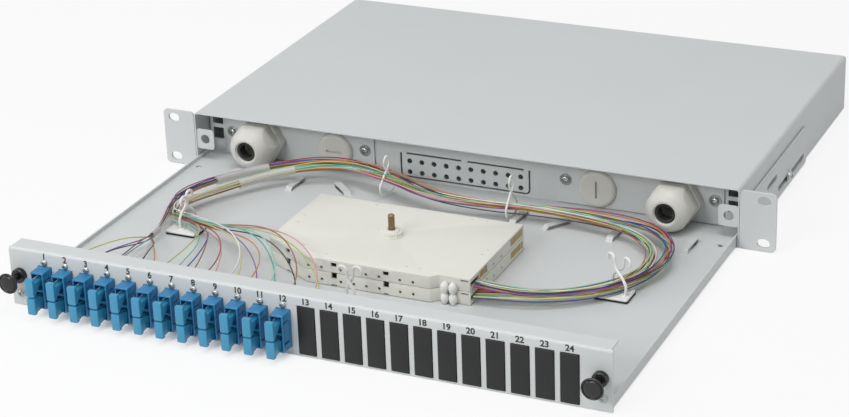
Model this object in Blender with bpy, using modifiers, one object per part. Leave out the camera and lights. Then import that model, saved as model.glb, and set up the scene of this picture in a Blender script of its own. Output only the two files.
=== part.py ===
# A 19-inch fibre splice drawer: a flat sheet-steel housing with rack ears, and a pull-out drawer
# that carries a port panel, cable glands, a splice cassette and the pigtails between them.
# Metres, +Z up. The front panel faces -Y, and X runs along the panel.
# The origin is the middle of the housing's underside. The drawer is modelled pulled out.

import math

import bmesh
import bpy
from mathutils import Matrix, Vector

# Housing
HOUSING_WIDTH = 0.430
HOUSING_HEIGHT = 0.044
HOUSING_DEPTH = 0.280
HOUSING_SHEET = 0.0010
HOUSING_BEND = 0.0025
REAR_LIP = 0.007
GAP = 0.0003

# Rack ears
RACK_WIDTH = 0.4826
RACK_HEIGHT = 0.04366
RACK_HOLE_X = 0.23255
RACK_HOLE_PITCH = 0.03175
RACK_SLOT = (0.0095, 0.0068)
EAR_SHEET = 0.0020
EAR_SIDE_DEPTH = 0.162
EAR_SIDE_HEIGHT = 0.030
EAR_SHORT_SLOT = (0.072, 0.0205, 0.024, 0.0045)
EAR_LONG_SLOT = (0.122, 0.0085, 0.068, 0.0050)

# Drawer, with depths measured from the housing's front plane
DRAWER_PULL = 0.252
TRAY_WIDTH = 0.4266
TRAY_SHEET = 0.0012
TRAY_UNDERSIDE = 0.0050
TRAY_SIDE_LOW = 0.0013
TRAY_RIM = 0.0030
TRAY_FRONT_GAP = 0.0022
CORNER_TAB = (0.1975, 0.0140)
REAR_WALL_Y = 0.0195
REAR_WALL_WIDTH = 0.4246
REAR_WALL_TOP = 0.0424
PANEL_WIDTH = 0.429
PANEL_BOTTOM = 0.0002
PANEL_TOP = 0.0426
PANEL_SHEET = 0.0015
PANEL_FLANGE = 0.0140
PANEL_BEND = 0.0020

# Ports on the panel
PORTS = 24
ADAPTERS = 12
PORT_PITCH = 0.01625
ADAPTER_Z = 0.0187
ADAPTER_SIZE = (0.0098, 0.0262)
ADAPTER_FRONT = 0.0105
ADAPTER_REAR = 0.0140
BLANK_Z = 0.0186
BLANK_SIZE = (0.0122, 0.0340)
CUT_PLAY = 0.0006

# Rear wall fittings
GLAND_X = 0.165
GLAND_Z = 0.0232
PLUG_X = 0.1045
PLUG_Z = 0.0215
PLUG_RADIUS = 0.0143
GLAND_PLATE = (0.0725, 0.1985, 0.0068, 0.0408)
WALL_WINDOW = (0.086, 0.186, 0.0086, 0.0362)
END_WINDOW_X = (0.2010, 0.2100)
END_WINDOWS_Z = ((0.0170, 0.0260), (0.0290, 0.0405))
GLAND_BODY_FLATS = 0.0330
GLAND_NUT_FLATS = 0.0316
GLAND_THREAD_RADIUS = 0.0124
GLAND_BORE_RADIUS = 0.0080
KNOCKOUT_HALF_WIDTH = 0.0512
KNOCKOUT_Z = (0.0082, 0.0268)
KNOCKOUT_SLIT = 0.0014
KNOCKOUT_CORNER = 0.0030
KNOCKOUT_HOLES = 10
KNOCKOUT_HOLE_PITCH = 0.00985
KNOCKOUT_HOLE_RADIUS = 0.0021
KNOCKOUT_ROWS = (0.0122, 0.0208)

# Push-pull latches
LATCH_X = 0.2070
LATCH_Z = 0.0228
LATCH_TRAVEL = 0.009
LATCH_TAB_HEIGHT = 0.016
LATCH_TAB_WIDTH = 0.015
LATCH_TAB_HOLE = 0.0037

# Splice cassette
CASSETTE_Z = (0.0065, 0.0160, 0.0163, 0.0255)
CASSETTE_WALL = 0.0016
CASSETTE_SKIN = 0.0014
STUD_XY = (0.0035, -0.1135)
STUD_RADIUS = 0.0024
STUD_TOP = 0.0410

# Pigtails: one tube for the two fibres of each adapter
PIGTAIL_DIAMETER = 0.0018
PIGTAIL_PITCH = 0.0023
TRUNK_POINTS = 36
LEFT_TRUNK_POINTS = 32
GATHER_POINTS = 5
TAIL_POINTS = 11
EXIT_SPREAD = 0.0030
LOOP_SPREAD = 0.0040

# The pigtails' common route inside the drawer, from the cassette's front right corner, round the
# right clip, along the rear wall and round the left side to the left clip
TRUNK_ROUTE = (
    (0.0818, -0.1520, 0.0161),
    (0.1120, -0.1475, 0.0148),
    (0.1420, -0.1325, 0.0140),
    (0.1670, -0.1095, 0.0145),
    (0.1790, -0.0800, 0.0145),
    (0.1750, -0.0480, 0.0140),
    (0.1530, -0.0260, 0.0145),
    (0.1170, -0.0180, 0.0150),
    (0.0730, -0.0190, 0.0155),
    (0.0320, -0.0260, 0.0170),
    (-0.0040, -0.0290, 0.0200),
    (-0.0360, -0.0190, 0.0220),
    (-0.0720, -0.0080, 0.0220),
    (-0.1060, -0.0085, 0.0200),
    (-0.1380, -0.0260, 0.0170),
    (-0.1620, -0.0550, 0.0150),
    (-0.1745, -0.0830, 0.0150),
    (-0.1745, -0.1010, 0.0150),
    (-0.1685, -0.1150, 0.0150),
    (-0.1550, -0.1204, 0.0150),
)

# Where the fibres of the first four adapters come together before they spread to their plugs
LEFT_GATHER = (-0.1676, -0.1469, 0.0125)

# Fibre clips: the middle of the opening, the way the fibres run, the half width of the opening,
# and the middle of the base
RIGHT_CLIP = (0.1670, -0.1095, math.radians(57), 0.0092, (0.1650, -0.1130))
LEFT_CLIP = (-0.1550, -0.1180, math.radians(-8), 0.0070, (-0.1555, -0.1210))
CLIP_BASE = (0.024, 0.018, 0.0026)
CLIP_WIRE = 0.0010

# Lanced tie bridges on the tray floor: middle and angle of each
TIE_BRIDGES = (
    (-0.1726, -0.0205, 79),
    (-0.1200, -0.0200, 88),
    (-0.0830, -0.0165, -43),
    (0.0585, -0.0190, 85),
    (0.0886, -0.0210, 57),
    (0.1326, -0.0223, 86),
    (0.1870, -0.0228, 88),
)
TIE_BRIDGE_SIZE = (0.025, 0.0050, 0.0030, 0.0009)
FLOOR_HOLES = ((-0.2060, -0.0130), (0.2060, -0.0130), (-0.2065, -0.2370), (0.2065, -0.2370))
FLOOR_HOLE_RADIUS = 0.0022

# Colours as linear RGB, roughness and metallic value
PAINT = ((0.60, 0.62, 0.62), 0.45, 0.0)
PLASTIC_BLUE = ((0.07, 0.27, 0.52), 0.35, 0.0)
PLASTIC_BLACK = ((0.012, 0.012, 0.013), 0.40, 0.0)
PLASTIC_PALE = ((0.62, 0.61, 0.57), 0.40, 0.0)
PLASTIC_CREAM = ((0.78, 0.76, 0.69), 0.45, 0.0)
PLASTIC_WHITE = ((0.80, 0.80, 0.78), 0.40, 0.0)
BRASS = ((0.35, 0.22, 0.12), 0.35, 1.0)
FIBRE_COLOURS = (
    (0.62, 0.57, 0.08), (0.26, 0.09, 0.26), (0.10, 0.42, 0.36), (0.02, 0.02, 0.02),
    (0.55, 0.55, 0.10), (0.02, 0.06, 0.25), (0.45, 0.03, 0.04), (0.75, 0.75, 0.72),
    (0.62, 0.22, 0.06), (0.25, 0.55, 0.42), (0.30, 0.12, 0.05), (0.65, 0.30, 0.30),
)

PARTS_NAME = "fiber_termination_box"
CUTTERS_NAME = "cutters"


def clear_scene():
    for item in list(bpy.data.objects):
        bpy.data.objects.remove(item, do_unlink=True)


def new_collection(name):
    collection = bpy.data.collections.new(name)
    bpy.context.scene.collection.children.link(collection)
    return collection


def new_material(name, finish):
    colour, roughness, metallic = finish
    material = bpy.data.materials.new(name)
    material.use_nodes = True
    shader = material.node_tree.nodes["Principled BSDF"]
    shader.inputs["Base Color"].default_value = (*colour, 1.0)
    shader.inputs["Roughness"].default_value = roughness
    shader.inputs["Metallic"].default_value = metallic
    return material


clear_scene()
parts = new_collection(PARTS_NAME)
cutters = new_collection(CUTTERS_NAME)


def new_empty(name, location):
    empty = bpy.data.objects.new(name, None)
    empty.location = location
    parts.objects.link(empty)
    return empty


def new_part(name, data, finish, parent, location=(0.0, 0.0, 0.0)):
    part = bpy.data.objects.new(name, data)
    material = new_material(name, finish)
    if data.materials:
        part.material_slots[0].link = "OBJECT"
        part.material_slots[0].material = material
    else:
        data.materials.append(material)
    part.parent = parent
    part.location = location
    parts.objects.link(part)
    return part


def scratch_object(data):
    item = bpy.data.objects.new("scratch", data)
    item.hide_render = True
    item.display_type = "WIRE"
    cutters.objects.link(item)
    return item


def evaluated_mesh(item):
    depsgraph = bpy.context.evaluated_depsgraph_get()
    depsgraph.update()
    return bpy.data.meshes.new_from_object(item.evaluated_get(depsgraph))


def weld(mesh):
    bm = bmesh.new()
    bm.from_mesh(mesh)
    bmesh.ops.remove_doubles(bm, verts=bm.verts, dist=1e-6)
    bmesh.ops.dissolve_degenerate(bm, edges=bm.edges, dist=1e-6)
    bmesh.ops.recalc_face_normals(bm, faces=bm.faces)
    bm.to_mesh(mesh)
    bm.free()
    return mesh


def combine(mesh, operation, others):
    """Joins the other meshes to a mesh, or cuts them out of it, one after another."""
    for other in others:
        base = scratch_object(mesh)
        tool = scratch_object(other)
        boolean = base.modifiers.new("join", "BOOLEAN")
        boolean.operation = operation
        boolean.solver = "EXACT"
        boolean.object = tool
        mesh = evaluated_mesh(base)
        bpy.data.objects.remove(base)
        bpy.data.objects.remove(tool)
    return mesh


def join(mesh, *others):
    return combine(mesh, "UNION", others)


def cut(mesh, *others):
    return combine(mesh, "DIFFERENCE", others)


def merged(meshes):
    """Several separate closed bodies in one mesh."""
    bm = bmesh.new()
    for mesh in meshes:
        bm.from_mesh(mesh)
    result = bpy.data.meshes.new("merged")
    bm.to_mesh(result)
    bm.free()
    return result


def moved(mesh, matrix):
    mesh.transform(matrix)
    return mesh


def box(low, high):
    size = Vector(high) - Vector(low)
    middle = (Vector(high) + Vector(low)) / 2
    bm = bmesh.new()
    bmesh.ops.create_cube(bm, size=1.0, matrix=Matrix.LocRotScale(middle, None, size))
    mesh = bpy.data.meshes.new("box")
    bm.to_mesh(mesh)
    bm.free()
    return mesh


def prism(sides, radius, low, high, far_radius=None, turn=0.0):
    """A prism or cone along Z, with its corners on the given radius."""
    bm = bmesh.new()
    top = radius if far_radius is None else far_radius
    place = Matrix.Translation((0, 0, (low + high) / 2)) @ Matrix.Rotation(turn, 4, "Z")
    bmesh.ops.create_cone(bm, cap_ends=True, segments=sides, radius1=radius, radius2=top,
                          depth=high - low, matrix=place)
    mesh = bpy.data.meshes.new("prism")
    bm.to_mesh(mesh)
    bm.free()
    return mesh


def turned(profile, steps):
    """A body turned about Z from (radius, height) points that run down its outer side."""
    mesh = bpy.data.meshes.new("turned")
    mesh.from_pydata([(r, 0.0, z) for r, z in profile],
                     [(i, i + 1) for i in range(len(profile) - 1)], [])
    item = scratch_object(mesh)
    screw = item.modifiers.new("turn", "SCREW")
    screw.steps = steps
    screw.render_steps = steps
    screw.use_merge_vertices = True
    screw.merge_threshold = 1e-5
    solid = weld(evaluated_mesh(item))
    bpy.data.objects.remove(item)
    return solid


def arc(middle, radius, start, end, steps):
    angles = [math.radians(start + (end - start) * i / steps) for i in range(steps + 1)]
    return [(middle[0] + radius * math.cos(a), middle[1] + radius * math.sin(a)) for a in angles]


def rounded(u0, u1, v0, v1, radius, steps=3):
    corners = ((u1 - radius, v1 - radius, 0), (u0 + radius, v1 - radius, 90),
               (u0 + radius, v0 + radius, 180), (u1 - radius, v0 + radius, 270))
    points = []
    for u, v, start in corners:
        points += arc((u, v), radius, start, start + 90, steps)
    return points


def rectangle(u0, u1, v0, v1):
    return [(u1, v1), (u0, v1), (u0, v0), (u1, v0)]


def slot(u, v, length, width, steps=4):
    half = (length - width) / 2
    return (arc((u + half, v), width / 2, -90, 90, steps)
            + arc((u - half, v), width / 2, 90, 270, steps))


def circle(u, v, radius, count):
    return arc((u, v), radius, 0, 360 - 360 / count, count - 1)


LIE_FLAT = Matrix.Identity(4)
FACE_FRONT = Matrix.Rotation(math.radians(90), 4, "X")
FACE_SIDE = Matrix(((0, 0, 1, 0), (1, 0, 0, 0), (0, 1, 0, 0), (0, 0, 0, 1)))


def plate(outlines, thickness, facing, middle):
    """A flat sheet of the first outline with the other outlines cut through it."""
    curve = bpy.data.curves.new("plate", "CURVE")
    curve.dimensions = "2D"
    curve.fill_mode = "BOTH"
    curve.extrude = thickness / 2
    for outline in outlines:
        spline = curve.splines.new("POLY")
        spline.points.add(len(outline) - 1)
        for point, (u, v) in zip(spline.points, outline):
            point.co = (u, v, 0.0, 1.0)
        spline.use_cyclic_u = True
    item = scratch_object(curve)
    mesh = weld(evaluated_mesh(item))
    bpy.data.objects.remove(item)
    return moved(mesh, Matrix.Translation(middle) @ facing)


def tube_curve(points, radius, resolution):
    curve = bpy.data.curves.new("tube", "CURVE")
    curve.dimensions = "3D"
    curve.bevel_depth = radius
    curve.bevel_resolution = resolution
    curve.use_fill_caps = True
    spline = curve.splines.new("POLY")
    spline.points.add(len(points) - 1)
    for point, place in zip(spline.points, points):
        point.co = (*place, 1.0)
    return curve


def tube(points, radius, resolution):
    item = scratch_object(tube_curve(points, radius, resolution))
    mesh = weld(evaluated_mesh(item))
    bpy.data.objects.remove(item)
    return mesh


def smooth_mesh(mesh):
    mesh.shade_smooth()
    mesh.set_sharp_from_angle(angle=math.radians(35))
    return mesh


def mirrored(mesh):
    """The same mesh on the other side of the middle plane."""
    copy = mesh.copy()
    copy.transform(Matrix.Scale(-1, 4, (1, 0, 0)))
    copy.flip_normals()
    return copy


def route_point(route, place):
    """A point at a share of the way along a smooth curve through the route's points."""
    spans = len(route) - 1
    span = min(int(place * spans), spans - 1)
    t = place * spans - span
    a = Vector(route[max(span - 1, 0)])
    b = Vector(route[span])
    c = Vector(route[span + 1])
    d = Vector(route[min(span + 2, spans)])
    return 0.5 * (2 * b + (c - a) * t + (2 * a - 5 * b + 4 * c - d) * t ** 2
                  + (3 * b - a - 3 * c + d) * t ** 3)


def route_heading(route, place):
    step = 0.004
    ahead = route_point(route, min(place + step, 1.0))
    behind = route_point(route, max(place - step, 0.0))
    flat = ahead - behind
    flat.z = 0.0
    return flat.normalized()


def bump(place, low, high):
    """Rises smoothly from 0 at low to 1 halfway and back to 0 at high."""
    share = (place - low) / (high - low)
    if share <= 0.0 or share >= 1.0:
        return 0.0
    return math.sin(math.pi * share) ** 2


def port_x(port):
    return (port - (PORTS + 1) / 2) * PORT_PITCH


# Empties at the housing's front plane carry the fixed pieces and the drawer's pieces
front_plane = (0.0, -HOUSING_DEPTH / 2, 0.0)
housing = new_empty("housing", front_plane)
drawer = new_empty("drawer", front_plane)
panel_y = -DRAWER_PULL
panel_rear_y = panel_y + PANEL_SHEET
floor_top = TRAY_UNDERSIDE + TRAY_SHEET


def housing_cover_mesh():
    half = HOUSING_WIDTH / 2
    inner = half - HOUSING_SHEET
    top = HOUSING_HEIGHT
    bend = HOUSING_BEND
    inner_bend = bend - HOUSING_SHEET
    outer_arcs = (arc((half - bend, top - bend), bend, 0, 90, 4)
                  + arc((bend - half, top - bend), bend, 90, 180, 4))
    inner_arcs = (arc((bend - half, top - bend), inner_bend, 180, 90, 4)
                  + arc((half - bend, top - bend), inner_bend, 90, 0, 4))
    section = ([(half, GAP)] + outer_arcs + [(-half, GAP), (-inner, GAP)] + inner_arcs
               + [(inner, GAP)])
    shell = plate([section], HOUSING_DEPTH, FACE_FRONT, (0, HOUSING_DEPTH / 2, 0))
    lip_reach = inner - bend
    lip = box((-lip_reach, HOUSING_DEPTH - HOUSING_SHEET, top - REAR_LIP),
              (lip_reach, HOUSING_DEPTH, top - HOUSING_SHEET / 2))
    shell = join(shell, lip)
    tab_z = (LATCH_Z - LATCH_TAB_HEIGHT / 2, LATCH_Z + LATCH_TAB_HEIGHT / 2)
    wall_middle = half - HOUSING_SHEET / 2
    for side in (-1, 1):
        reach = sorted((side * wall_middle, side * (wall_middle - LATCH_TAB_WIDTH)))
        outline = rounded(*reach, *tab_z, 0.0025)
        hole = circle(side * LATCH_X, LATCH_Z, LATCH_TAB_HOLE, 14)
        tab = plate([outline, hole], TRAY_SHEET, FACE_FRONT, (0, 0.0016, 0))
        shell = join(shell, tab)
    return shell


def housing_base_mesh():
    half = HOUSING_WIDTH / 2 - HOUSING_SHEET - GAP
    outline = rectangle(-half, half, GAP, HOUSING_DEPTH - GAP)
    return plate([outline], HOUSING_SHEET, LIE_FLAT, (0, 0, HOUSING_SHEET / 2))


def rack_ear_mesh():
    """The right ear: a slotted front flange bent back along the housing's side."""
    inner = HOUSING_WIDTH / 2 + GAP
    low = (HOUSING_HEIGHT - RACK_HEIGHT) / 2
    middle = HOUSING_HEIGHT / 2
    front = [rounded(inner, RACK_WIDTH / 2, low, low + RACK_HEIGHT, 0.003)]
    for side in (-1, 1):
        front.append(slot(RACK_HOLE_X, middle + side * RACK_HOLE_PITCH / 2, *RACK_SLOT))
    flange = plate(front, EAR_SHEET, FACE_FRONT, (0, EAR_SHEET / 2, 0))
    side = [rounded(EAR_SHEET / 2, EAR_SIDE_DEPTH, low + 0.001, EAR_SIDE_HEIGHT, 0.003),
            slot(*EAR_SHORT_SLOT), slot(*EAR_LONG_SLOT)]
    side_sheet = plate(side, EAR_SHEET, FACE_SIDE, (inner + EAR_SHEET / 2, 0, 0))
    bend = box((inner, EAR_SHEET / 4, low + 0.004), (inner + EAR_SHEET, 0.010, EAR_SIDE_HEIGHT - 0.003))
    return join(flange, side_sheet, bend)


def tie_bridge_meshes(x, y, angle):
    """A strip raised out of the floor, and the slot it leaves below it."""
    length, width, rise, sheet = TIE_BRIDGE_SIZE
    half = length / 2
    foot = half - rise
    outline = [(half, -sheet / 2), (foot, rise), (-foot, rise), (-half, -sheet / 2),
               (-half + sheet * 1.6, -sheet / 2), (-foot + sheet / 2, rise - sheet),
               (foot - sheet / 2, rise - sheet), (half - sheet * 1.6, -sheet / 2)]
    strip = plate([outline], width, FACE_FRONT, (0, 0, 0))
    slot = box((-foot, -width / 2 - GAP, TRAY_UNDERSIDE - floor_top - 0.001),
               (foot, width / 2 + GAP, 0.0002))
    turn = Matrix.Rotation(math.radians(angle), 4, "Z")
    place = Matrix.Translation((x, y, floor_top)) @ turn
    return moved(strip, place), moved(slot, place)


def rear_wall_outlines():
    half = REAR_WALL_WIDTH / 2
    outlines = [rectangle(-half, half, TRAY_UNDERSIDE + TRAY_SHEET / 4, REAR_WALL_TOP)]
    low_x, high_x, low_z, high_z = WALL_WINDOW
    edge_low, edge_high = KNOCKOUT_Z
    half_slit = KNOCKOUT_SLIT / 2
    reach = KNOCKOUT_HALF_WIDTH
    corner = (reach - KNOCKOUT_CORNER, edge_low + KNOCKOUT_CORNER)
    outer = arc(corner, KNOCKOUT_CORNER + half_slit, -90, 0, 3) + [(reach + half_slit, edge_high)]
    inner = [(reach - half_slit, edge_high)] + arc(corner, KNOCKOUT_CORNER - half_slit, 0, -90, 3)
    right_half = outer + inner
    left_half = [(-x, z) for x, z in reversed(right_half)]
    outlines.append(right_half + left_half)
    for side in (-1, 1):
        outlines.append(rectangle(*sorted((side * low_x, side * high_x)), low_z, high_z))
        for window in END_WINDOWS_Z:
            across = sorted((side * END_WINDOW_X[0], side * END_WINDOW_X[1]))
            outlines.append(rectangle(*across, *window))
        strip = sorted((side * 0.0025, side * (reach - 0.0045)))
        outlines.append(rectangle(*strip, edge_high - half_slit, edge_high + half_slit))
    for row in KNOCKOUT_ROWS:
        for i in range(KNOCKOUT_HOLES):
            x = (i - (KNOCKOUT_HOLES - 1) / 2) * KNOCKOUT_HOLE_PITCH
            outlines.append(circle(x, row, KNOCKOUT_HOLE_RADIUS, 8))
    return outlines


def drawer_tray_mesh():
    half = TRAY_WIDTH / 2
    inner = half - TRAY_SHEET
    front = panel_rear_y + TRAY_FRONT_GAP
    back = REAR_WALL_Y + TRAY_SHEET - 0.0002
    rim_top = floor_top + TRAY_RIM
    right = [(inner, TRAY_UNDERSIDE), (inner, TRAY_SIDE_LOW), (half, TRAY_SIDE_LOW),
             (half, rim_top), (inner, rim_top), (inner, floor_top)]
    left = [(-x, z) for x, z in reversed(right)]
    tray = plate([right + left], back - front, FACE_FRONT, (0, (back + front) / 2, 0))
    wall = plate(rear_wall_outlines(), TRAY_SHEET, FACE_FRONT, (0, REAR_WALL_Y + TRAY_SHEET / 2, 0))
    tray = join(tray, wall)
    tab_inner, tab_top = CORNER_TAB
    for side in (-1, 1):
        across = sorted((side * tab_inner, side * (REAR_WALL_WIDTH / 2)))
        tab = box((across[0], panel_rear_y + GAP, TRAY_UNDERSIDE + 0.0002),
                  (across[1], front + 0.0005, tab_top))
        tray = join(tray, tab)
    for bridge in TIE_BRIDGES:
        strip, slot = tie_bridge_meshes(*bridge)
        tray = join(cut(tray, slot), strip)
    for x, y in FLOOR_HOLES:
        drill = moved(prism(8, FLOOR_HOLE_RADIUS, 0.0, 0.01), Matrix.Translation((x, y, 0)))
        tray = cut(tray, drill)
    return tray


def front_panel_mesh():
    """A sheet folded back along its top edge, with a cut-out for each port and latch."""
    half = PANEL_WIDTH / 2
    fold = (panel_y + PANEL_BEND, PANEL_TOP - PANEL_BEND)
    flange_y = panel_y + PANEL_FLANGE
    section = ([(panel_y, PANEL_BOTTOM)] + arc(fold, PANEL_BEND, 180, 90, 4)
               + [(flange_y, PANEL_TOP), (flange_y, PANEL_TOP - PANEL_SHEET)]
               + arc(fold, PANEL_BEND - PANEL_SHEET, 90, 180, 2) + [(panel_rear_y, PANEL_BOTTOM)])
    panel = plate([section], PANEL_WIDTH, FACE_SIDE, (0, 0, 0))
    near = panel_y - 0.005
    far = panel_rear_y + 0.004
    holes = []
    for port in range(1, PORTS + 1):
        x = port_x(port)
        adapter = port <= ADAPTERS
        size = ADAPTER_SIZE if adapter else BLANK_SIZE
        z = ADAPTER_Z if adapter else BLANK_Z
        across = size[0] / 2 + CUT_PLAY / 2
        up = size[1] / 2 + CUT_PLAY / 2
        holes.append(box((x - across, near, z - up), (x + across, far, z + up)))
    for side in (-1, 1):
        drill = moved(prism(14, 0.0034, -0.005, 0.005), FACE_FRONT)
        holes.append(moved(drill, Matrix.Translation((side * LATCH_X, panel_y, LATCH_Z))))
        end = sorted((side * (half - 0.0015), side * (half + 0.001)))
        holes.append(box((end[0], panel_rear_y, PANEL_TOP - 0.004),
                         (end[1], flange_y + 0.001, PANEL_TOP + 0.001)))
    return cut(panel, merged(holes))


def gland_plate_mesh():
    low_x, high_x, low_z, high_z = GLAND_PLATE
    hole = GLAND_THREAD_RADIUS + GAP
    outlines = [rounded(low_x, high_x, low_z, high_z, 0.0015, 2),
                circle(GLAND_X, GLAND_Z, hole, 16), circle(PLUG_X, PLUG_Z, hole, 16)]
    return plate(outlines, TRAY_SHEET, FACE_FRONT, (0, gland_plate_y + TRAY_SHEET / 2, 0))


def gland_body_mesh():
    """Hex flange, shank and bore of a cable gland along Z, with the plate's face at zero."""
    flange = prism(6, GLAND_BODY_FLATS / math.sqrt(3), GAP, 0.0085, turn=math.radians(30))
    shank = prism(16, GLAND_THREAD_RADIUS, -0.0110, 0.0020)
    neck = prism(16, 0.0116, 0.0080, 0.0205)
    body = join(flange, shank, neck)
    return cut(body, prism(14, GLAND_BORE_RADIUS, -0.02, 0.03))


def gland_dome_nut_mesh():
    flat = GLAND_NUT_FLATS / 2
    hexagon = prism(6, GLAND_NUT_FLATS / math.sqrt(3), 0.0088, 0.0180, turn=math.radians(30))
    dome = turned([(0.0, 0.0312), (0.0096, 0.0312), (0.0122, 0.0300), (0.0145, 0.0268),
                   (flat - 0.0002, 0.0215), (flat - 0.0002, 0.0100), (0.0, 0.0100)], 18)
    nut = join(hexagon, dome)
    cavity = prism(16, 0.0121, 0.0, 0.0210)
    mouth = prism(14, 0.0076, 0.0200, 0.04)
    return cut(nut, cavity, mouth)


def blanking_plug_mesh():
    plug = turned([(0.0, 0.0036), (PLUG_RADIUS - 0.0030, 0.0036), (PLUG_RADIUS - 0.0008, 0.0028),
                   (PLUG_RADIUS, 0.0016), (PLUG_RADIUS, GAP), (0.0120, GAP), (0.0120, -0.0095),
                   (0.0110, -0.0105), (0.0, -0.0105)], 20)
    return cut(plug, box((-0.0064, -0.0010, 0.0018), (0.0064, 0.0010, 0.005)))


def latch_grommet_mesh():
    bore = 0.0025
    profile = [(bore, 0.0042), (0.0046, 0.0042), (0.0052, 0.0036), (0.0052, GAP), (0.0031, GAP),
               (0.0031, -0.0100), (0.0028, -0.0110), (bore, -0.0110), (bore, 0.0042)]
    return turned(profile, 14)


def latch_plunger_mesh():
    return turned([(0.0, 0.0168), (0.0058, 0.0168), (0.0072, 0.0160), (0.0074, 0.0150),
                   (0.0066, 0.0140), (0.0022, 0.0137), (0.0022, -0.0062),
                   (0.0016, -0.0070), (0.0, -0.0070)], 16)


def adapter_mesh():
    """A panel coupler with its two front openings, its screw flange, and the plug on its back."""
    half_x = ADAPTER_SIZE[0] / 2
    half_z = ADAPTER_SIZE[1] / 2
    body = box((-half_x, -ADAPTER_FRONT, -half_z), (half_x, PANEL_SHEET, half_z))
    rear = box((-0.0043, -0.0010, -0.0108), (0.0043, ADAPTER_REAR, 0.0124))
    flange = box((-0.0062, PANEL_SHEET + GAP, -0.0112), (0.0062, 0.0034, 0.0181))
    plug = box((-0.0036, ADAPTER_REAR - 0.001, -0.0095), (0.0036, 0.0280, 0.0095))
    boot = prism(8, 0.0032, 0.0270, 0.0360, far_radius=0.0015)
    boot = moved(boot, Matrix.Rotation(math.radians(-90), 4, "X"))
    body = join(body, rear, flange, plug, boot)
    upper = box((-0.0038, -0.02, 0.0008), (0.0038, -0.0035, 0.0121))
    lower = box((-0.0038, -0.02, -0.0121), (0.0038, -0.0035, -0.0008))
    return cut(body, upper, lower)


def dust_cap_mesh():
    """Two grips and their plugs, one above the other, cut from one side outline."""
    front = -0.0204
    web = -0.0165
    tip = -0.0040
    rounding = 0.0012
    top = 0.0126
    bottom = -0.0135
    upper = (arc((front + rounding, top - rounding), rounding, 180, 90, 3)
             + [(-0.0176, top), (-0.0145, 0.0104), (tip, 0.0104), (tip, 0.0019), (web, 0.0019)])
    lower = ([(web, -0.0019), (tip, -0.0019), (tip, -0.0112), (web, -0.0112)]
             + arc((web - rounding, bottom + rounding), rounding, 0, -90, 3)
             + arc((front + rounding, bottom + rounding), rounding, -90, -180, 3))
    groove = [(front, -0.0005), (-0.0185, -0.0005), (-0.0185, 0.0005), (front, 0.0005)]
    return plate([upper + lower + groove], 0.0062, FACE_SIDE, (0, 0, 0))


def port_blank_strip_mesh():
    half_x = BLANK_SIZE[0] / 2
    half_z = BLANK_SIZE[1] / 2
    face = panel_y - 0.0008
    back = panel_rear_y + 0.0006
    first = port_x(ADAPTERS + 1)
    last = port_x(PORTS)
    strip = box((first - 0.006, panel_rear_y + GAP, BLANK_Z - 0.011),
                (last + 0.006, panel_rear_y + 0.0015, BLANK_Z + 0.014))
    for port in range(ADAPTERS + 1, PORTS + 1):
        x = port_x(port)
        outline = rectangle(x - half_x, x + half_x, BLANK_Z - half_z, BLANK_Z + half_z)
        blank = plate([outline], back - face, FACE_FRONT, (0, (face + back) / 2, 0))
        strip = join(strip, blank)
    return strip


def cassette_outline(inset):
    left = -0.0745 + inset
    right = 0.0815 - inset
    back = -0.0660 - inset
    front = -0.1645 + inset
    recess = front + 0.0048
    slope = 0.4 * inset
    return [(right, back), (left, back), (left, -0.1450 + slope), (-0.0365 + slope, front),
            (0.0545 - slope, front), (0.0593 - slope, recess), (right, recess)]


def splice_tray_mesh(low, high, pocket_low, pocket_high):
    stud_hole = circle(*STUD_XY, STUD_RADIUS + 0.0006, 10)
    thickness = high - low
    tray = plate([cassette_outline(0.0), stud_hole], thickness, LIE_FLAT, (0, 0, (low + high) / 2))
    hub = circle(*STUD_XY, 0.0060, 12)
    pocket = plate([cassette_outline(CASSETTE_WALL), hub], pocket_high - pocket_low, LIE_FLAT,
                   (0, 0, (pocket_low + pocket_high) / 2))
    exit_y = TRUNK_ROUTE[0][1]
    exit_z = (low + high) / 2
    fibre_exit = box((0.0780, exit_y - 0.0068, exit_z - 0.0018), (0.09, exit_y + 0.0073, exit_z + 0.0018))
    return cut(tray, pocket, fibre_exit)


def fibre_clip_mesh(x, y, angle, half_width, base_middle):
    """A flat base with two wires that arch over the fibres, pass each other and curl outwards.

    The fibres run along local X through the opening."""
    length, width, height = CLIP_BASE
    low = floor_top + GAP
    clip = plate([rounded(-length / 2, length / 2, -width / 2, width / 2, 0.0015, 2)], height,
                 LIE_FLAT, (base_middle[0] - x, base_middle[1] - y, low + height / 2))
    clip = moved(clip, Matrix.Rotation(-angle, 4, "Z"))
    top = low + height
    for side in (-1, 1):
        across = side * half_width
        route = [(side * 0.0018, across * 0.80, top - 0.0012), (side * 0.0018, across, top + 0.003),
                 (side * 0.0018, across, top + 0.0075), (side * 0.0018, across * 0.55, top + 0.0120),
                 (side * 0.0018, -across * 0.10, top + 0.0160),
                 (side * 0.0018, -across * 0.30, top + 0.0205)]
        curl_middle = (-across * 0.30 - side * 0.0034, top + 0.0220)
        curl = [(side * 0.0018, curl_middle[0] + side * 0.0034 * math.cos(a),
                 curl_middle[1] + 0.0034 * math.sin(a))
                for a in [math.radians(25 + 48 * i) for i in range(5)]]
        path = [route_point(route + curl, i / 18) for i in range(19)]
        clip = join(clip, tube(path, CLIP_WIRE, 1))
    return clip


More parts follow.
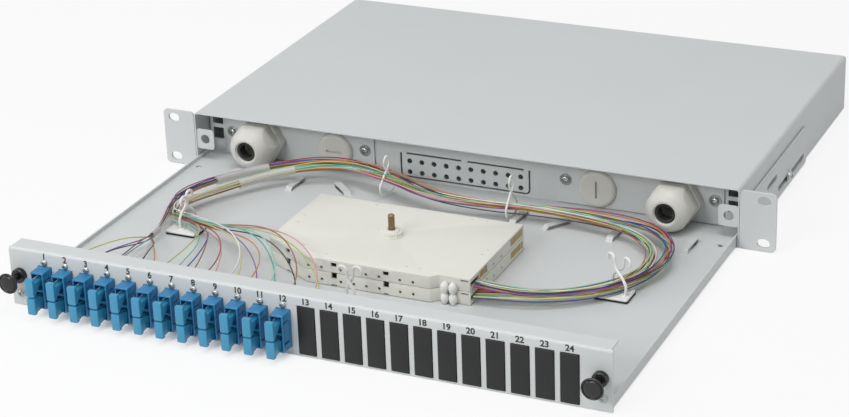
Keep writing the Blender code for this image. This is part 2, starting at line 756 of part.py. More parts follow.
def curve_between(start, lead_in, end, lead_out, steps, hump):
    """Points after start on a smooth curve that leaves along lead_in and arrives along lead_out."""
    points = []
    for i in range(1, steps + 1):
        t = i / steps
        place = (start * (2 * t ** 3 - 3 * t ** 2 + 1) + lead_in * (t ** 3 - 2 * t ** 2 + t)
                 + end * (3 * t ** 2 - 2 * t ** 3) + lead_out * (t ** 3 - t ** 2))
        place.z += hump * math.sin(math.pi * t) ** 2
        points.append(place)
    return points


def pigtail_route(adapter):
    """The smooth path of one adapter's fibres, from the cassette to the back of the adapter."""
    column = (adapter - 1) // 2
    row = 1 if adapter % 2 == 0 else -1
    outer = 1 if column < 3 else -1
    leaves_early = column < 2
    trunk_points = LEFT_TRUNK_POINTS if leaves_early else TRUNK_POINTS
    points = []
    for i in range(trunk_points):
        place = i / (TRUNK_POINTS - 1)
        heading = route_heading(TRUNK_ROUTE, place)
        right = Vector((heading.y, -heading.x, 0.0))
        spread = LOOP_SPREAD * (bump(place, 0.14, 0.44) + 0.6 * bump(place, 0.62, 0.84))
        across = (2.5 - column) * PIGTAIL_PITCH + outer * spread
        exit_lift = EXIT_SPREAD * max(0.0, 1.0 - place / 0.10) ** 2
        up = row * (PIGTAIL_PITCH / 2 + exit_lift)
        points.append(route_point(TRUNK_ROUTE, place) + right * across + Vector((0, 0, up)))
    start = points[-1]
    end = Vector((port_x(adapter), panel_y + 0.0363, ADAPTER_Z))
    lead = 1.15
    hump = 0.0012 * (adapter - 3) + 0.0015 * row
    to_front = Vector((0.0, -1.0, 0.0))
    if leaves_early:
        beside = Vector(((column - 0.5) * PIGTAIL_PITCH, 0.0, row * PIGTAIL_PITCH / 2))
        gather = Vector(LEFT_GATHER) + beside
        reach = (gather - start).length
        points += curve_between(start, heading * reach, gather, to_front * reach, GATHER_POINTS, 0.0)
        start = gather
        heading = to_front
        lead = 0.5
        hump = 0.002
    reach = (end - start).length
    points += curve_between(start, heading * reach * lead, end, to_front * reach, TAIL_POINTS, hump)
    return points


def print_least_gap(routes):
    """Prints the least clear distance between any two pigtails, measured along their routes."""
    fine = []
    for route in routes:
        fine.append([a.lerp(b, k / 5) for a, b in zip(route, route[1:]) for k in range(5)])
    least = min((p - q).length for i, one in enumerate(fine) for other in fine[:i]
                for p in one for q in other)
    print("least gap between pigtails: %.2f mm" % ((least - PIGTAIL_DIAMETER) * 1000))


gland_plate_y = REAR_WALL_Y - GAP - TRAY_SHEET

new_part("housing_cover", housing_cover_mesh(), PAINT, housing)
new_part("housing_base", housing_base_mesh(), PAINT, housing)
right_ear = rack_ear_mesh()
new_part("rack_ear_right", right_ear, PAINT, housing)
new_part("rack_ear_left", mirrored(right_ear), PAINT, housing)

new_part("drawer_tray", drawer_tray_mesh(), PAINT, drawer)
new_part("front_panel", front_panel_mesh(), PAINT, drawer)
right_gland_plate = gland_plate_mesh()
gland_body = smooth_mesh(moved(gland_body_mesh(), FACE_FRONT))
dome_nut = smooth_mesh(moved(gland_dome_nut_mesh(), FACE_FRONT))
blanking_plug = smooth_mesh(moved(blanking_plug_mesh(), FACE_FRONT))
grommet = smooth_mesh(moved(latch_grommet_mesh(), FACE_FRONT))
plunger = smooth_mesh(moved(latch_plunger_mesh(), FACE_FRONT))
for side_name, side in (("left", -1), ("right", 1)):
    plate_mesh = right_gland_plate if side > 0 else mirrored(right_gland_plate)
    new_part("gland_plate_" + side_name, plate_mesh, PAINT, drawer)
    gland_place = (side * GLAND_X, gland_plate_y, GLAND_Z)
    new_part("gland_body_" + side_name, gland_body, PLASTIC_PALE, drawer, gland_place)
    new_part("gland_dome_nut_" + side_name, dome_nut, PLASTIC_PALE, drawer, gland_place)
    plug = new_part("blanking_plug_" + side_name, blanking_plug, PLASTIC_PALE, drawer,
                    (side * PLUG_X, gland_plate_y, PLUG_Z))
    plug.rotation_euler = (0.0, math.radians(45 + 45 * side), 0.0)
    latch_place = (side * LATCH_X, panel_y, LATCH_Z)
    new_part("latch_grommet_" + side_name, grommet, PLASTIC_BLACK, drawer, latch_place)
    new_part("latch_plunger_" + side_name, plunger, PLASTIC_BLACK, drawer, latch_place)

adapter_body = adapter_mesh()
dust_cap = dust_cap_mesh()
for number in range(1, ADAPTERS + 1):
    port_place = (port_x(number), panel_y, ADAPTER_Z)
    new_part("adapter_%02d" % number, adapter_body, PLASTIC_BLUE, drawer, port_place)
    new_part("dust_cap_%02d" % number, dust_cap, PLASTIC_BLUE, drawer, port_place)
new_part("port_blank_strip", port_blank_strip_mesh(), PLASTIC_BLACK, drawer)

lower_low, lower_high, upper_low, upper_high = CASSETTE_Z
new_part("splice_tray_lower", splice_tray_mesh(lower_low, lower_high, lower_low + CASSETTE_SKIN, 0.02),
         PLASTIC_CREAM, drawer)
new_part("splice_tray_upper", splice_tray_mesh(upper_low, upper_high, 0.01, upper_high - CASSETTE_SKIN),
         PLASTIC_CREAM, drawer)
new_part("cassette_stud", smooth_mesh(prism(10, STUD_RADIUS, floor_top + GAP, STUD_TOP)), BRASS, drawer,
         (*STUD_XY, 0.0))

for side_name, clip_values in (("left", LEFT_CLIP), ("right", RIGHT_CLIP)):
    clip = new_part("fibre_clip_" + side_name, smooth_mesh(fibre_clip_mesh(*clip_values)), PLASTIC_WHITE,
                    drawer, (*clip_values[:2], 0.0))
    clip.rotation_euler = (0.0, 0.0, clip_values[2])

pigtail_routes = [pigtail_route(number) for number in range(1, ADAPTERS + 1)]
print_least_gap(pigtail_routes)
for number, (route, colour) in enumerate(zip(pigtail_routes, FIBRE_COLOURS), start=1):
    pigtail = tube_curve(route, PIGTAIL_DIAMETER / 2, 1)
    new_part("pigtail_%02d" % number, pigtail, (colour, 0.35, 0.0), drawer)
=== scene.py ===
# The looks of a pull-out fibre termination box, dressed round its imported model.
# Metres, +Z up. The port panel faces -Y, and X runs along the panel.

import math
import random

import bmesh
import bpy
from mathutils import Matrix, Vector


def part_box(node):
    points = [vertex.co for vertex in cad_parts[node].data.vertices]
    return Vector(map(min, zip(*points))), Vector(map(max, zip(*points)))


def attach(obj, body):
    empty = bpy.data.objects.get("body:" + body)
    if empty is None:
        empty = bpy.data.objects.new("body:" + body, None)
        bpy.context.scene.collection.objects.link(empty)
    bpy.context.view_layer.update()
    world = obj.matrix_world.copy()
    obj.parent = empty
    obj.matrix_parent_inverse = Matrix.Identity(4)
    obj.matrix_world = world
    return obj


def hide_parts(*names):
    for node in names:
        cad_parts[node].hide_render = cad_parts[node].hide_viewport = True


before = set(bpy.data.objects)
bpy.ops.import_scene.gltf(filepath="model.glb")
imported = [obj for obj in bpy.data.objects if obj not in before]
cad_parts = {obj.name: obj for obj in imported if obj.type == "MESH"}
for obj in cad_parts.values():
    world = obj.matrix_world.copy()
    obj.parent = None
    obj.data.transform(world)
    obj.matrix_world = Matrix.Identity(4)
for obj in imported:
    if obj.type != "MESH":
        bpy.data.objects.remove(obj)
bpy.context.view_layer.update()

scene = bpy.context.scene

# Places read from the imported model, with the gap left between pieces and the ears' sheet
GAP = 0.0003
FRONT_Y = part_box("housing_cover")[0].y
PANEL_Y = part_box("front_panel")[0].y
FLOOR_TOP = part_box("fibre_clip_left")[0].z - GAP
PLATE_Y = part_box("gland_plate_left")[0].y
EAR_SHEET = 0.0020
EAR_SIDE_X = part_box("rack_ear_right")[0].x + EAR_SHEET

# Camera, in the photograph's 849 pixel wide frame
PHOTO_WIDTH = 849
FOCAL_PIXELS = 2321.57
SENSOR_WIDTH = 36.0
CAMERA_AZIMUTH = math.radians(25.134)
CAMERA_ELEVATION = math.radians(23.944)
CAMERA_ROLL = math.radians(-2.078)
CAMERA_AIM = Vector((0.0, FRONT_Y, 0.020))
CAMERA_ASIDE = -0.021388
CAMERA_RAISED = -0.020807
CAMERA_DISTANCE = 1.686505

# Ports
PORTS = 24
ADAPTERS = 12
PORT_PITCH = 0.01625
ADAPTER_HALF = (0.0049, 0.0131)
ADAPTER_FRONT = 0.0105
ADAPTER_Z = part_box("adapter_01")[0].z + ADAPTER_HALF[1]
PANEL_SHEET = 0.0015
PORT_SCREW_Z = 0.0346
NUMBER_Z = 0.0390
NUMBER_SIZE = 0.0059
BLANK_Z = 0.0186
BLANK_HALF = (0.0061, 0.0170)

# Screws on the panel, the gland plates and the ears, and the heights of the washers under them
PANEL_SCREW_X = 0.2080
PANEL_SCREW_Z = 0.0088
PLATE_SCREWS = (("inner", 0.0800), ("outer", 0.1920))
PLATE_SCREW_Z = 0.0250
PLATE_WASHER = 0.0006
EAR_SCREW_BACK = 0.1150
EAR_SCREW_Z = 0.0085
EAR_WASHER = 0.0007

# Cassette: its outline, the peg holes, squares, windows and marks in it, and the guide bulbs beside it
BEVEL_START = (-0.0745, -0.1450)
BEVEL_END = (-0.0365, -0.1645)
CASSETTE_STEP = 0.0048
CASSETTE_RIGHT = 0.0815
CASSETTE_BACK = -0.0660
RECESS_START = 0.0545
RECESS_END = 0.0593
PEG_ROW_UPPER = 0.0190
PEG_ROW_LOWER = 0.0102
PEG_RADIUS = 0.0011
FRONT_PEGS = (-0.0350, -0.0254, -0.0112, -0.0016, 0.0077, 0.0173, 0.0327, 0.0422)
SIDE_PEGS = (-0.1200, -0.1065)
FRONT_SQUARES = (-0.0161, 0.0225)
CASSETTE_WINDOWS = ((-0.0900, -0.0685), (-0.1435, -0.1310))
WINDOW_HALF = 0.0030
FIBRE_EXIT = (-0.1588, -0.1447)
EXIT_HALF = 0.0018
SQUARE_HALF = 0.0021
CORNER_SLIT_X = 0.0775
HUB_RADIUS = 0.0060
STUD_HOLE_RADIUS = 0.0030
CASSETTE_MARKS = (
    (-0.0674, -0.1158), (-0.0674, -0.1040), (-0.0456, -0.1482), (-0.0361, -0.1549), (-0.0250, -0.1559),
    (0.0342, -0.1557), (0.0436, -0.1555), (0.0740, -0.1210), (0.0750, -0.1130), (0.0450, -0.0705),
    (0.0560, -0.0705), (-0.0280, -0.0705),
)
GUIDE_BULB_Y = -0.1620
GUIDE_BULB_ROWS = (("low", 0.0104), ("high", 0.0182))
GUIDE_BULB_COLUMNS = (("a", 0.0640), ("b", 0.0699))

# Pigtails, two strands for each adapter
STRAND_RADIUS = 0.00045
PAIR_HALF = 0.00055
PIGTAIL_PITCH = 0.0023
BUNDLE_SQUEEZE = 0.25
SQUEEZED_PITCH = (1.0 - BUNDLE_SQUEEZE) * PIGTAIL_PITCH
MIDDLE_COLUMN = (ADAPTERS // 2 - 1) / 2
EARLY_COLUMNS = 2
TRUNK_POINTS = 36
LEFT_TRUNK_POINTS = 32
GATHER_POINTS = 5
TAIL_POINTS = 11
LEFT_GATHER = (-0.1676, -0.1469, 0.0125)
EXIT_SPREAD = 0.0030
LOOP_SPREAD = 0.0040
LEFT_SPREAD = 0.0060
HUMP_STEP = 0.0012
HUMP_OF_ROW = 0.0015
LAST_HUMP = 0.0135
BOOT_Z = 0.0050
BOOT_END = 0.0363
PLUG_END = 0.0272
TRUNK_ROUTE = (
    (0.0818, -0.1520, 0.0161),
    (0.1120, -0.1475, 0.0148),
    (0.1420, -0.1325, 0.0140),
    (0.1670, -0.1095, 0.0145),
    (0.1790, -0.0800, 0.0145),
    (0.1750, -0.0480, 0.0140),
    (0.1530, -0.0260, 0.0145),
    (0.1170, -0.0180, 0.0150),
    (0.0730, -0.0190, 0.0155),
    (0.0320, -0.0260, 0.0170),
    (-0.0040, -0.0290, 0.0200),
    (-0.0360, -0.0190, 0.0220),
    (-0.0720, -0.0080, 0.0220),
    (-0.1060, -0.0085, 0.0200),
    (-0.1380, -0.0260, 0.0170),
    (-0.1620, -0.0550, 0.0150),
    (-0.1745, -0.0830, 0.0150),
    (-0.1745, -0.1010, 0.0150),
    (-0.1685, -0.1150, 0.0150),
    (-0.1550, -0.1204, 0.0150),
)

# Stretches of the trunk, as shares of the way along it
EXIT_STRETCH = 0.10
LOOSENING_STRETCH = 0.12
LOOP_STRETCH = (0.14, 0.44)
LEFT_STRETCH = (0.64, 0.94)
CALM_STRETCH = (0.64, 0.86)
CALMING = 0.75

# Wander of a strand: its waves, its twist, and how far the waves drift and lift it
WAVE_RATES = (2.5, 6.5)
LAST_PHASE = 6.3
MOST_TWIST = 14.0
DRIFTS = (0.0022, 0.0013)
LIFTS = (0.0014, 0.0008)

# Sleeves: name, side of the bundle, and the stretch of the trunk that it covers
SLEEVES = (("outer", 1, 0.735, 0.790), ("inner", -1, 0.710, 0.775))
SLEEVE_RADIUS = 0.0034
LEFT_SLEEVE_RADIUS = 0.0024

# Fibre clips: middle of the opening, the way the fibres run, the opening's half width, middle of the base
CLIPS = {
    "left": (-0.1550, -0.1180, math.radians(-8), 0.0070, (-0.1555, -0.1210)),
    "right": (0.1670, -0.1095, math.radians(57), 0.0092, (0.1650, -0.1130)),
}
FRONT_CLIP = (0.0070, -0.1860, math.radians(80), 0.0044, (0.0070, -0.1880))
CLIP_BASE = (0.024, 0.018, 0.0026)
CLIP_FOAM = 0.0010
CLIP_WIRE = 0.0010
CLIP_CURL = 0.0034

# Bundle ties: middle of the bundle, the way the fibres run, half width, lowest and highest point
BUNDLE_TIES = (
    (-0.0460, -0.0165, math.radians(163), 0.0078, 0.0090, 0.0385),
    (0.0540, -0.0215, math.radians(172), 0.0080, 0.0085, 0.0395),
)
TIE_WIRE = 0.0008

# Colours as linear RGB
COAT_GREY = (0.60, 0.62, 0.62)
BLUE = (0.034, 0.262, 0.445)
DEEP_BLUE = (0.014, 0.180, 0.385)
BLACK = (0.012, 0.012, 0.013)
BLANK_GREY = (0.012, 0.0125, 0.013)
NYLON_GREY = (0.62, 0.61, 0.57)
CREAM = (0.74, 0.73, 0.665)
WHITE = (0.80, 0.80, 0.78)
AMBER = (0.56, 0.45, 0.21)
BRASS = (0.25, 0.17, 0.10)
ZINC = (0.40, 0.42, 0.41)
FIBRE_COLOURS = (
    ("yellow", (0.60, 0.56, 0.16)), ("violet", (0.26, 0.09, 0.26)),
    ("teal", (0.09, 0.37, 0.33)), ("black", (0.02, 0.02, 0.02)),
    ("lime", (0.46, 0.52, 0.17)), ("blue", (0.02, 0.06, 0.25)),
    ("red", (0.28, 0.03, 0.04)), ("white", (0.75, 0.75, 0.72)),
    ("orange", (0.52, 0.20, 0.07)), ("mint", (0.25, 0.55, 0.42)),
    ("brown", (0.30, 0.12, 0.05)), ("rose", (0.65, 0.30, 0.30)),
)
SECOND_COLOUR_STEP = 5

# Studio
PURE_WHITE = (1.0, 1.0, 1.0, 1.0)
SKY_COLOUR = (0.97, 0.985, 1.0, 1.0)
SKY_STRENGTH = 0.37
FLOOR_REACH = 4.0
FLOOR_GLOW = 0.82

# Lamps: name, place, the point it faces, width and height, watts
LAMPS = (
    ("key", (0.2, -0.7, 2.2), (0.0, -0.15, 0.0), (1.4, 1.1), 22.5),
    ("left", (-1.2, -0.75, 0.62), (0.0, -0.15, 0.0), (0.7, 0.6), 2.5),
    ("front", (-0.5, -1.9, 1.0), (0.0, -0.2, 0.0), (0.8, 0.6), 13.0),
)


class Signal:
    """A value that changes over a surface. Arithmetic on it adds the Math nodes it needs."""

    def __init__(self, finish, socket):
        self.finish = finish
        self.socket = socket

    def maths(self, operation, first, second):
        return self.finish.node("ShaderNodeMath", {"operation": operation}, {0: first, 1: second})

    def __add__(self, other):
        return self.maths("ADD", self, other)

    def __radd__(self, other):
        return self.maths("ADD", other, self)

    def __mul__(self, other):
        return self.maths("MULTIPLY", self, other)

    def __rmul__(self, other):
        return self.maths("MULTIPLY", other, self)


class Nodes:
    """A node tree, and the one way in which nodes are added to it."""

    def __init__(self, owner):
        owner.use_nodes = True
        self.tree = owner.node_tree

    def connect(self, socket, value):
        if isinstance(value, Signal):
            self.tree.links.new(socket, value.socket)
        else:
            socket.default_value = value

    def node(self, kind, settings=None, inputs=None, output=0):
        made = self.tree.nodes.new(kind)
        for key, value in (settings or {}).items():
            setattr(made, key, value)
        for key, value in (inputs or {}).items():
            self.connect(made.inputs[key], value)
        return Signal(self, made.outputs[output])

    def seen_directly(self):
        """A value of 1 where the camera, a reflection or a see-through part looks at the backdrop."""
        names = ("Is Camera Ray", "Is Glossy Ray", "Is Transmission Ray")
        camera, glossy, through = [self.node("ShaderNodeLightPath", output=name) for name in names]
        return camera.maths("MAXIMUM", camera.maths("MAXIMUM", camera, glossy), through)

    def show(self, output, share, first, second):
        """Sends two shaders, mixed by a share, to the tree's output."""
        mix = self.node("ShaderNodeMixShader", None, {0: share, 1: first, 2: second})
        self.connect(self.tree.nodes[output].inputs["Surface"], mix)


class Finish(Nodes):
    """A material and the nodes that colour it."""

    def __init__(self, name):
        self.material = bpy.data.materials.new(name)
        super().__init__(self.material)
        self.shader = self.tree.nodes["Principled BSDF"]

    def grain(self, scale, detail, stretch=None):
        place = self.node("ShaderNodeTexCoord", output="Object")
        if stretch:
            place = self.node("ShaderNodeVectorMath", {"operation": "MULTIPLY"}, {0: place, 1: stretch})
        return self.node("ShaderNodeTexNoise", None, {"Vector": place, "Scale": scale, "Detail": detail})

    def blend(self, share, first, second):
        colours = {0: share, 6: (*first, 1.0), 7: (*second, 1.0)}
        return self.node("ShaderNodeMix", {"data_type": "RGBA"}, colours, 2)

    def surface(self, colour, roughness, height, depth, strength, **fixed):
        self.connect(self.shader.inputs["Base Color"], colour)
        self.connect(self.shader.inputs["Roughness"], roughness)
        relief = {"Strength": strength, "Distance": depth, "Height": height}
        self.connect(self.shader.inputs["Normal"], self.node("ShaderNodeBump", None, relief))
        for name, value in fixed.items():
            label = name.replace("_", " ").title().replace("Ior", "IOR")
            self.shader.inputs[label].default_value = value
        return self.material


def shade(colour, factor):
    return tuple(min(1.0, part * factor) for part in colour)


def powder_coat():
    """Light grey paint with a fine orange peel and faint clouding."""
    finish = Finish("powder_coat")
    peel = finish.grain(1500.0, 3.0)
    cloud = finish.grain(14.0, 3.0)
    tone = finish.blend(cloud * 0.7 + peel * 0.3, shade(COAT_GREY, 0.965), shade(COAT_GREY, 1.035))
    return finish.surface(tone, 0.40 + 0.16 * peel, peel, 0.00012, 0.30)


def moulding(name, colour, roughness, spread, **fixed):
    """Moulded plastic with a fine spark-eroded texture and slight flow marks."""
    finish = Finish(name)
    spark = finish.grain(2600.0, 2.0)
    flow = finish.grain(90.0, 3.0, (1.0, 1.0, 0.35))
    tone = finish.blend(flow, shade(colour, 1.0 - spread), shade(colour, 1.0 + spread))
    return finish.surface(tone, roughness + 0.12 * spark, spark, 0.00006, 0.35, **fixed)


def bright_metal(name, colour, roughness):
    """Plated or turned metal with fine lines round it and slight stains."""
    finish = Finish(name)
    lines = finish.grain(900.0, 2.0, (1.0, 1.0, 6.0))
    stain = finish.grain(260.0, 3.0)
    tone = finish.blend(stain, shade(colour, 0.9), shade(colour, 1.1))
    return finish.surface(tone, roughness + 0.15 * lines, lines, 0.00004, 0.3, metallic=1.0)


def fibre_jacket(name, colour):
    """Smooth coloured jacket, slightly paler where it has been drawn."""
    finish = Finish(name)
    drawn = finish.grain(60.0, 2.0)
    skin = finish.grain(1800.0, 1.0)
    tone = finish.blend(drawn, shade(colour, 0.86), shade(colour, 1.16))
    return finish.surface(tone, 0.30 + 0.12 * skin, skin, 0.00003, 0.25)


def sleeve_film():
    """Thin milky film that lets the fibres inside it show."""
    finish = Finish("sleeve_film")
    ripple = finish.grain(700.0, 2.0, (1.0, 1.0, 3.0))
    tone = finish.blend(ripple, shade(WHITE, 0.92), shade(WHITE, 1.08))
    return finish.surface(tone, 0.22 + 0.15 * ripple, ripple, 0.00008, 0.4, alpha=0.50)


def printed_ink():
    finish = Finish("printed_ink")
    screen = finish.grain(2200.0, 2.0)
    tone = finish.blend(screen, (0.010, 0.010, 0.010), (0.028, 0.028, 0.029))
    return finish.surface(tone, 0.45 + 0.2 * screen, screen, 0.00002, 0.3)


def foam_rubber(name, colour):
    finish = Finish(name)
    cells = finish.grain(1600.0, 4.0)
    tone = finish.blend(cells, shade(colour, 0.6), shade(colour, 1.5))
    return finish.surface(tone, 0.72 + 0.2 * cells, cells, 0.00025, 0.6)


coat = powder_coat()
blue_plastic = moulding("blue_plastic", BLUE, 0.26, 0.05, specular_ior_level=0.65)
deep_blue_plastic = moulding("deep_blue_plastic", DEEP_BLUE, 0.26, 0.05, specular_ior_level=0.65)
black_plastic = moulding("black_plastic", BLACK, 0.12, 0.15)
blank_plastic = moulding("blank_plastic", BLANK_GREY, 0.38, 0.12, specular_ior_level=0.38)
grey_nylon = moulding("grey_nylon", NYLON_GREY, 0.34, 0.03)
cream_plastic = moulding("cream_plastic", CREAM, 0.40, 0.025)
white_nylon = moulding("white_nylon", WHITE, 0.34, 0.03)
amber_plastic = moulding("amber_plastic", AMBER, 0.30, 0.12)
stud_brass = bright_metal("stud_brass", BRASS, 0.30)
zinc = bright_metal("zinc_plate", ZINC, 0.22)
ink = printed_ink()
film = sleeve_film()
black_foam = foam_rubber("black_foam", (0.012, 0.012, 0.012))
seal_rubber = foam_rubber("seal_rubber", (0.030, 0.030, 0.028))
jackets = {name: fibre_jacket("jacket_" + name, colour) for name, colour in FIBRE_COLOURS}


def mesh_of(bm):
    mesh = bpy.data.meshes.new("piece")
    bmesh.ops.recalc_face_normals(bm, faces=bm.faces)
    bm.to_mesh(mesh)
    bm.free()
    return mesh


def moved(mesh, matrix):
    mesh.transform(matrix)
    return mesh


def block(low, high):
    bm = bmesh.new()
    middle = (Vector(low) + Vector(high)) / 2
    size = Vector(high) - Vector(low)
    bmesh.ops.create_cube(bm, size=1.0, matrix=Matrix.LocRotScale(middle, None, size))
    return mesh_of(bm)


def extruded(outline, low, high):
    """A solid of a flat outline, from one height to another along Z."""
    bm = bmesh.new()
    corners = [bm.verts.new((u, v, low)) for u, v in outline]
    face = bm.faces.new(corners)
    grown = bmesh.ops.extrude_face_region(bm, geom=[face])
    tops = [item for item in grown["geom"] if isinstance(item, bmesh.types.BMVert)]
    bmesh.ops.translate(bm, verts=tops, vec=(0, 0, high - low))
    return mesh_of(bm)


def turned(profile, steps=32):
    """A round body about Z from (radius, height) points that run down its outer side."""
    bm = bmesh.new()
    rings = []
    for radius, height in profile:
        count = steps if radius > 0 else 1
        angles = [2 * math.pi * i / steps for i in range(count)]
        rings.append([bm.verts.new((radius * math.cos(a), radius * math.sin(a), height)) for a in angles])
    for upper, lower in zip(rings, rings[1:]):
        for i in range(steps):
            corners = (upper[i % len(upper)], upper[(i + 1) % len(upper)],
                       lower[(i + 1) % len(lower)], lower[i % len(lower)])
            bm.faces.new(list(dict.fromkeys(corners)))
    bmesh.ops.remove_doubles(bm, verts=bm.verts, dist=1e-7)
    return mesh_of(bm)


def rod(radius, low, high, steps):
    """A plain round bar about Z, to cut a bore or a peg hole with."""
    return turned([(0.0, high), (radius, high), (radius, low), (0.0, low)], steps)


def arc(middle, radius, start, end, steps):
    angles = [math.radians(start + (end - start) * i / steps) for i in range(steps + 1)]
    return [(middle[0] + radius * math.cos(a), middle[1] + radius * math.sin(a)) for a in angles]


def rounded(u0, u1, v0, v1, radius, steps=4):
    corners = ((u1 - radius, v1 - radius, 0), (u0 + radius, v1 - radius, 90),
               (u0 + radius, v0 + radius, 180), (u1 - radius, v0 + radius, 270))
    points = []
    for u, v, start in corners:
        points += arc((u, v), radius, start, start + 90, steps)
    return points


def hexagon(across_flats):
    return arc((0.0, 0.0), across_flats / math.sqrt(3), 0, 300, 5)


def evaluated(item):
    depsgraph = bpy.context.evaluated_depsgraph_get()
    depsgraph.update()
    mesh = bpy.data.meshes.new_from_object(item.evaluated_get(depsgraph))
    bpy.data.objects.remove(item)
    return mesh


def scratch(data):
    item = bpy.data.objects.new("scratch", data)
    scene.collection.objects.link(item)
    return item


def combined(mesh, operation, others):
    for other in others:
        base = scratch(mesh)
        tool = scratch(other)
        boolean = base.modifiers.new("combine", "BOOLEAN")
        boolean.operation = operation
        boolean.solver = "EXACT"
        boolean.object = tool
        mesh = evaluated(base)
        bpy.data.objects.remove(tool)
    return mesh


def joined(mesh, *others):
    return combined(mesh, "UNION", others)


def cut(mesh, *others):
    return combined(mesh, "DIFFERENCE", others)


def merged(meshes):
    """Several bodies in one mesh, side by side."""
    bm = bmesh.new()
    for mesh in meshes:
        bm.from_mesh(mesh)
    result = bpy.data.meshes.new("merged")
    bm.to_mesh(result)
    bm.free()
    return result


def softened(mesh, width, segments=2, angle=35):
    """The same body with its sharp edges rounded."""
    item = scratch(mesh)
    bevel = item.modifiers.new("edges", "BEVEL")
    bevel.width = width
    bevel.segments = segments
    bevel.limit_method = "ANGLE"
    bevel.angle_limit = math.radians(angle)
    return evaluated(item)


def smooth(mesh, angle=38):
    mesh.shade_smooth()
    mesh.set_sharp_from_angle(angle=math.radians(angle))
    return mesh


def swept(points, radius, resolution=2):
    """A round wire or strand along a list of points."""
    curve = bpy.data.curves.new("wire", "CURVE")
    curve.dimensions = "3D"
    curve.bevel_depth = radius
    curve.bevel_resolution = resolution
    curve.use_fill_caps = True
    spline = curve.splines.new("POLY")
    spline.points.add(len(points) - 1)
    for point, place in zip(spline.points, points):
        point.co = (*place, 1.0)
    mesh = evaluated(scratch(curve))
    mesh.shade_smooth()
    return mesh


def piece(name, mesh, material, body="drawer", nodes=(), matrix=None):
    item = bpy.data.objects.new(name, mesh)
    scene.collection.objects.link(item)
    if not mesh.materials:
        mesh.materials.append(material)
    if matrix:
        item.matrix_world = matrix
    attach(item, body)
    if nodes:
        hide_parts(*nodes)
    return item


FACE_FRONT = Matrix.Rotation(math.radians(90), 4, "X")
FACE_RIGHT = Matrix.Rotation(math.radians(90), 4, "Y")
FACE_LEFT = Matrix.Rotation(math.radians(-90), 4, "Y")
FACE_BACK = Matrix.Rotation(math.radians(-90), 4, "X")
SIDE_ON = FACE_LEFT @ Matrix.Rotation(math.radians(-90), 4, "Z")
SIDES = (("left", -1), ("right", 1))


def at(x, y, z, facing=None):
    place = Matrix.Translation((x, y, z))
    return place @ facing if facing else place


def middle_of(node):
    low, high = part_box(node)
    return (low + high) / 2


def port_x(port):
    return (port - (PORTS + 1) / 2) * PORT_PITCH


def dress_sheet_metal():
    """Paint on the folded sheet pieces, with their edges broken as a coating leaves them."""
    sheets = ["housing_cover", "housing_base", "rack_ear_left", "rack_ear_right", "drawer_tray",
              "front_panel", "gland_plate_left", "gland_plate_right"]
    for name in sheets:
        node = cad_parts[name]
        node.data.materials.clear()
        node.data.materials.append(coat)
        weld = node.modifiers.new("weld", "WELD")
        weld.merge_threshold = 1e-6
        edges = node.modifiers.new("edges", "BEVEL")
        edges.width = 0.00022
        edges.segments = 2
        edges.limit_method = "ANGLE"
        edges.angle_limit = math.radians(40)


def adapter_mesh():
    """A duplex coupler: two front openings, a rim at the panel, side ledges, rear plugs and boots."""
    half_x, half_z = ADAPTER_HALF
    wall = 0.0011
    body = softened(block((-half_x, -ADAPTER_FRONT, -half_z), (half_x, PANEL_SHEET, half_z)), 0.0006, 3)
    rim = softened(block((-half_x - 0.0003, -0.0011, -half_z - 0.0003),
                         (half_x + 0.0003, -0.0001, half_z + 0.0003)), 0.0003)
    body = joined(body, rim)
    openings = []
    for side in (-1, 1):
        z = sorted((side * 0.0008, side * (half_z - wall)))
        openings.append(block((-half_x + wall, -0.02, z[0]), (half_x - wall, -0.0035, z[1])))
        recess = sorted((side * (half_x - 0.00022), side * 0.008))
        openings.append(block((recess[0], -0.0094, -0.0072), (recess[1], -0.0014, 0.0058)))
        groove = sorted((side * (half_x - 0.0014), side * 0.008))
        for groove_z in (-0.0075, 0.0073):
            openings.append(block((groove[0], -0.0098, groove_z - 0.0006),
                                  (groove[1], -0.0026, groove_z + 0.0006)))
    body = cut(body, *openings)
    rear = softened(block((-0.0043, PANEL_SHEET - 0.0005, -0.0108), (0.0043, 0.0140, 0.0124)), 0.0005)
    flange = softened(block((-0.0062, PANEL_SHEET + GAP, -0.0112), (0.0062, 0.0034, 0.0181)), 0.0004)
    parts = [joined(body, rear, flange)]
    for side in (-1, 1):
        z = side * BOOT_Z
        plug = block((-0.0034, 0.0142, z - 0.0041), (0.0034, PLUG_END, z + 0.0041))
        parts += [softened(plug, 0.0006, 2), moved(boot_mesh(), at(0.0, PLUG_END, z, FACE_BACK))]
    return smooth(merged(parts))


def boot_mesh():
    """A bend relief of five rings that widen towards its plug."""
    profile = [(0.0, 0.0090)]
    for ring in range(5):
        height = 0.0088 - 0.0018 * ring
        radius = 0.0016 + 0.00028 * ring
        profile += [(radius, height), (radius, height - 0.0011), (radius - 0.0003, height - 0.0013)]
    profile += [(0.0028, 0.0), (0.0, 0.0)]
    return turned(profile, 16)


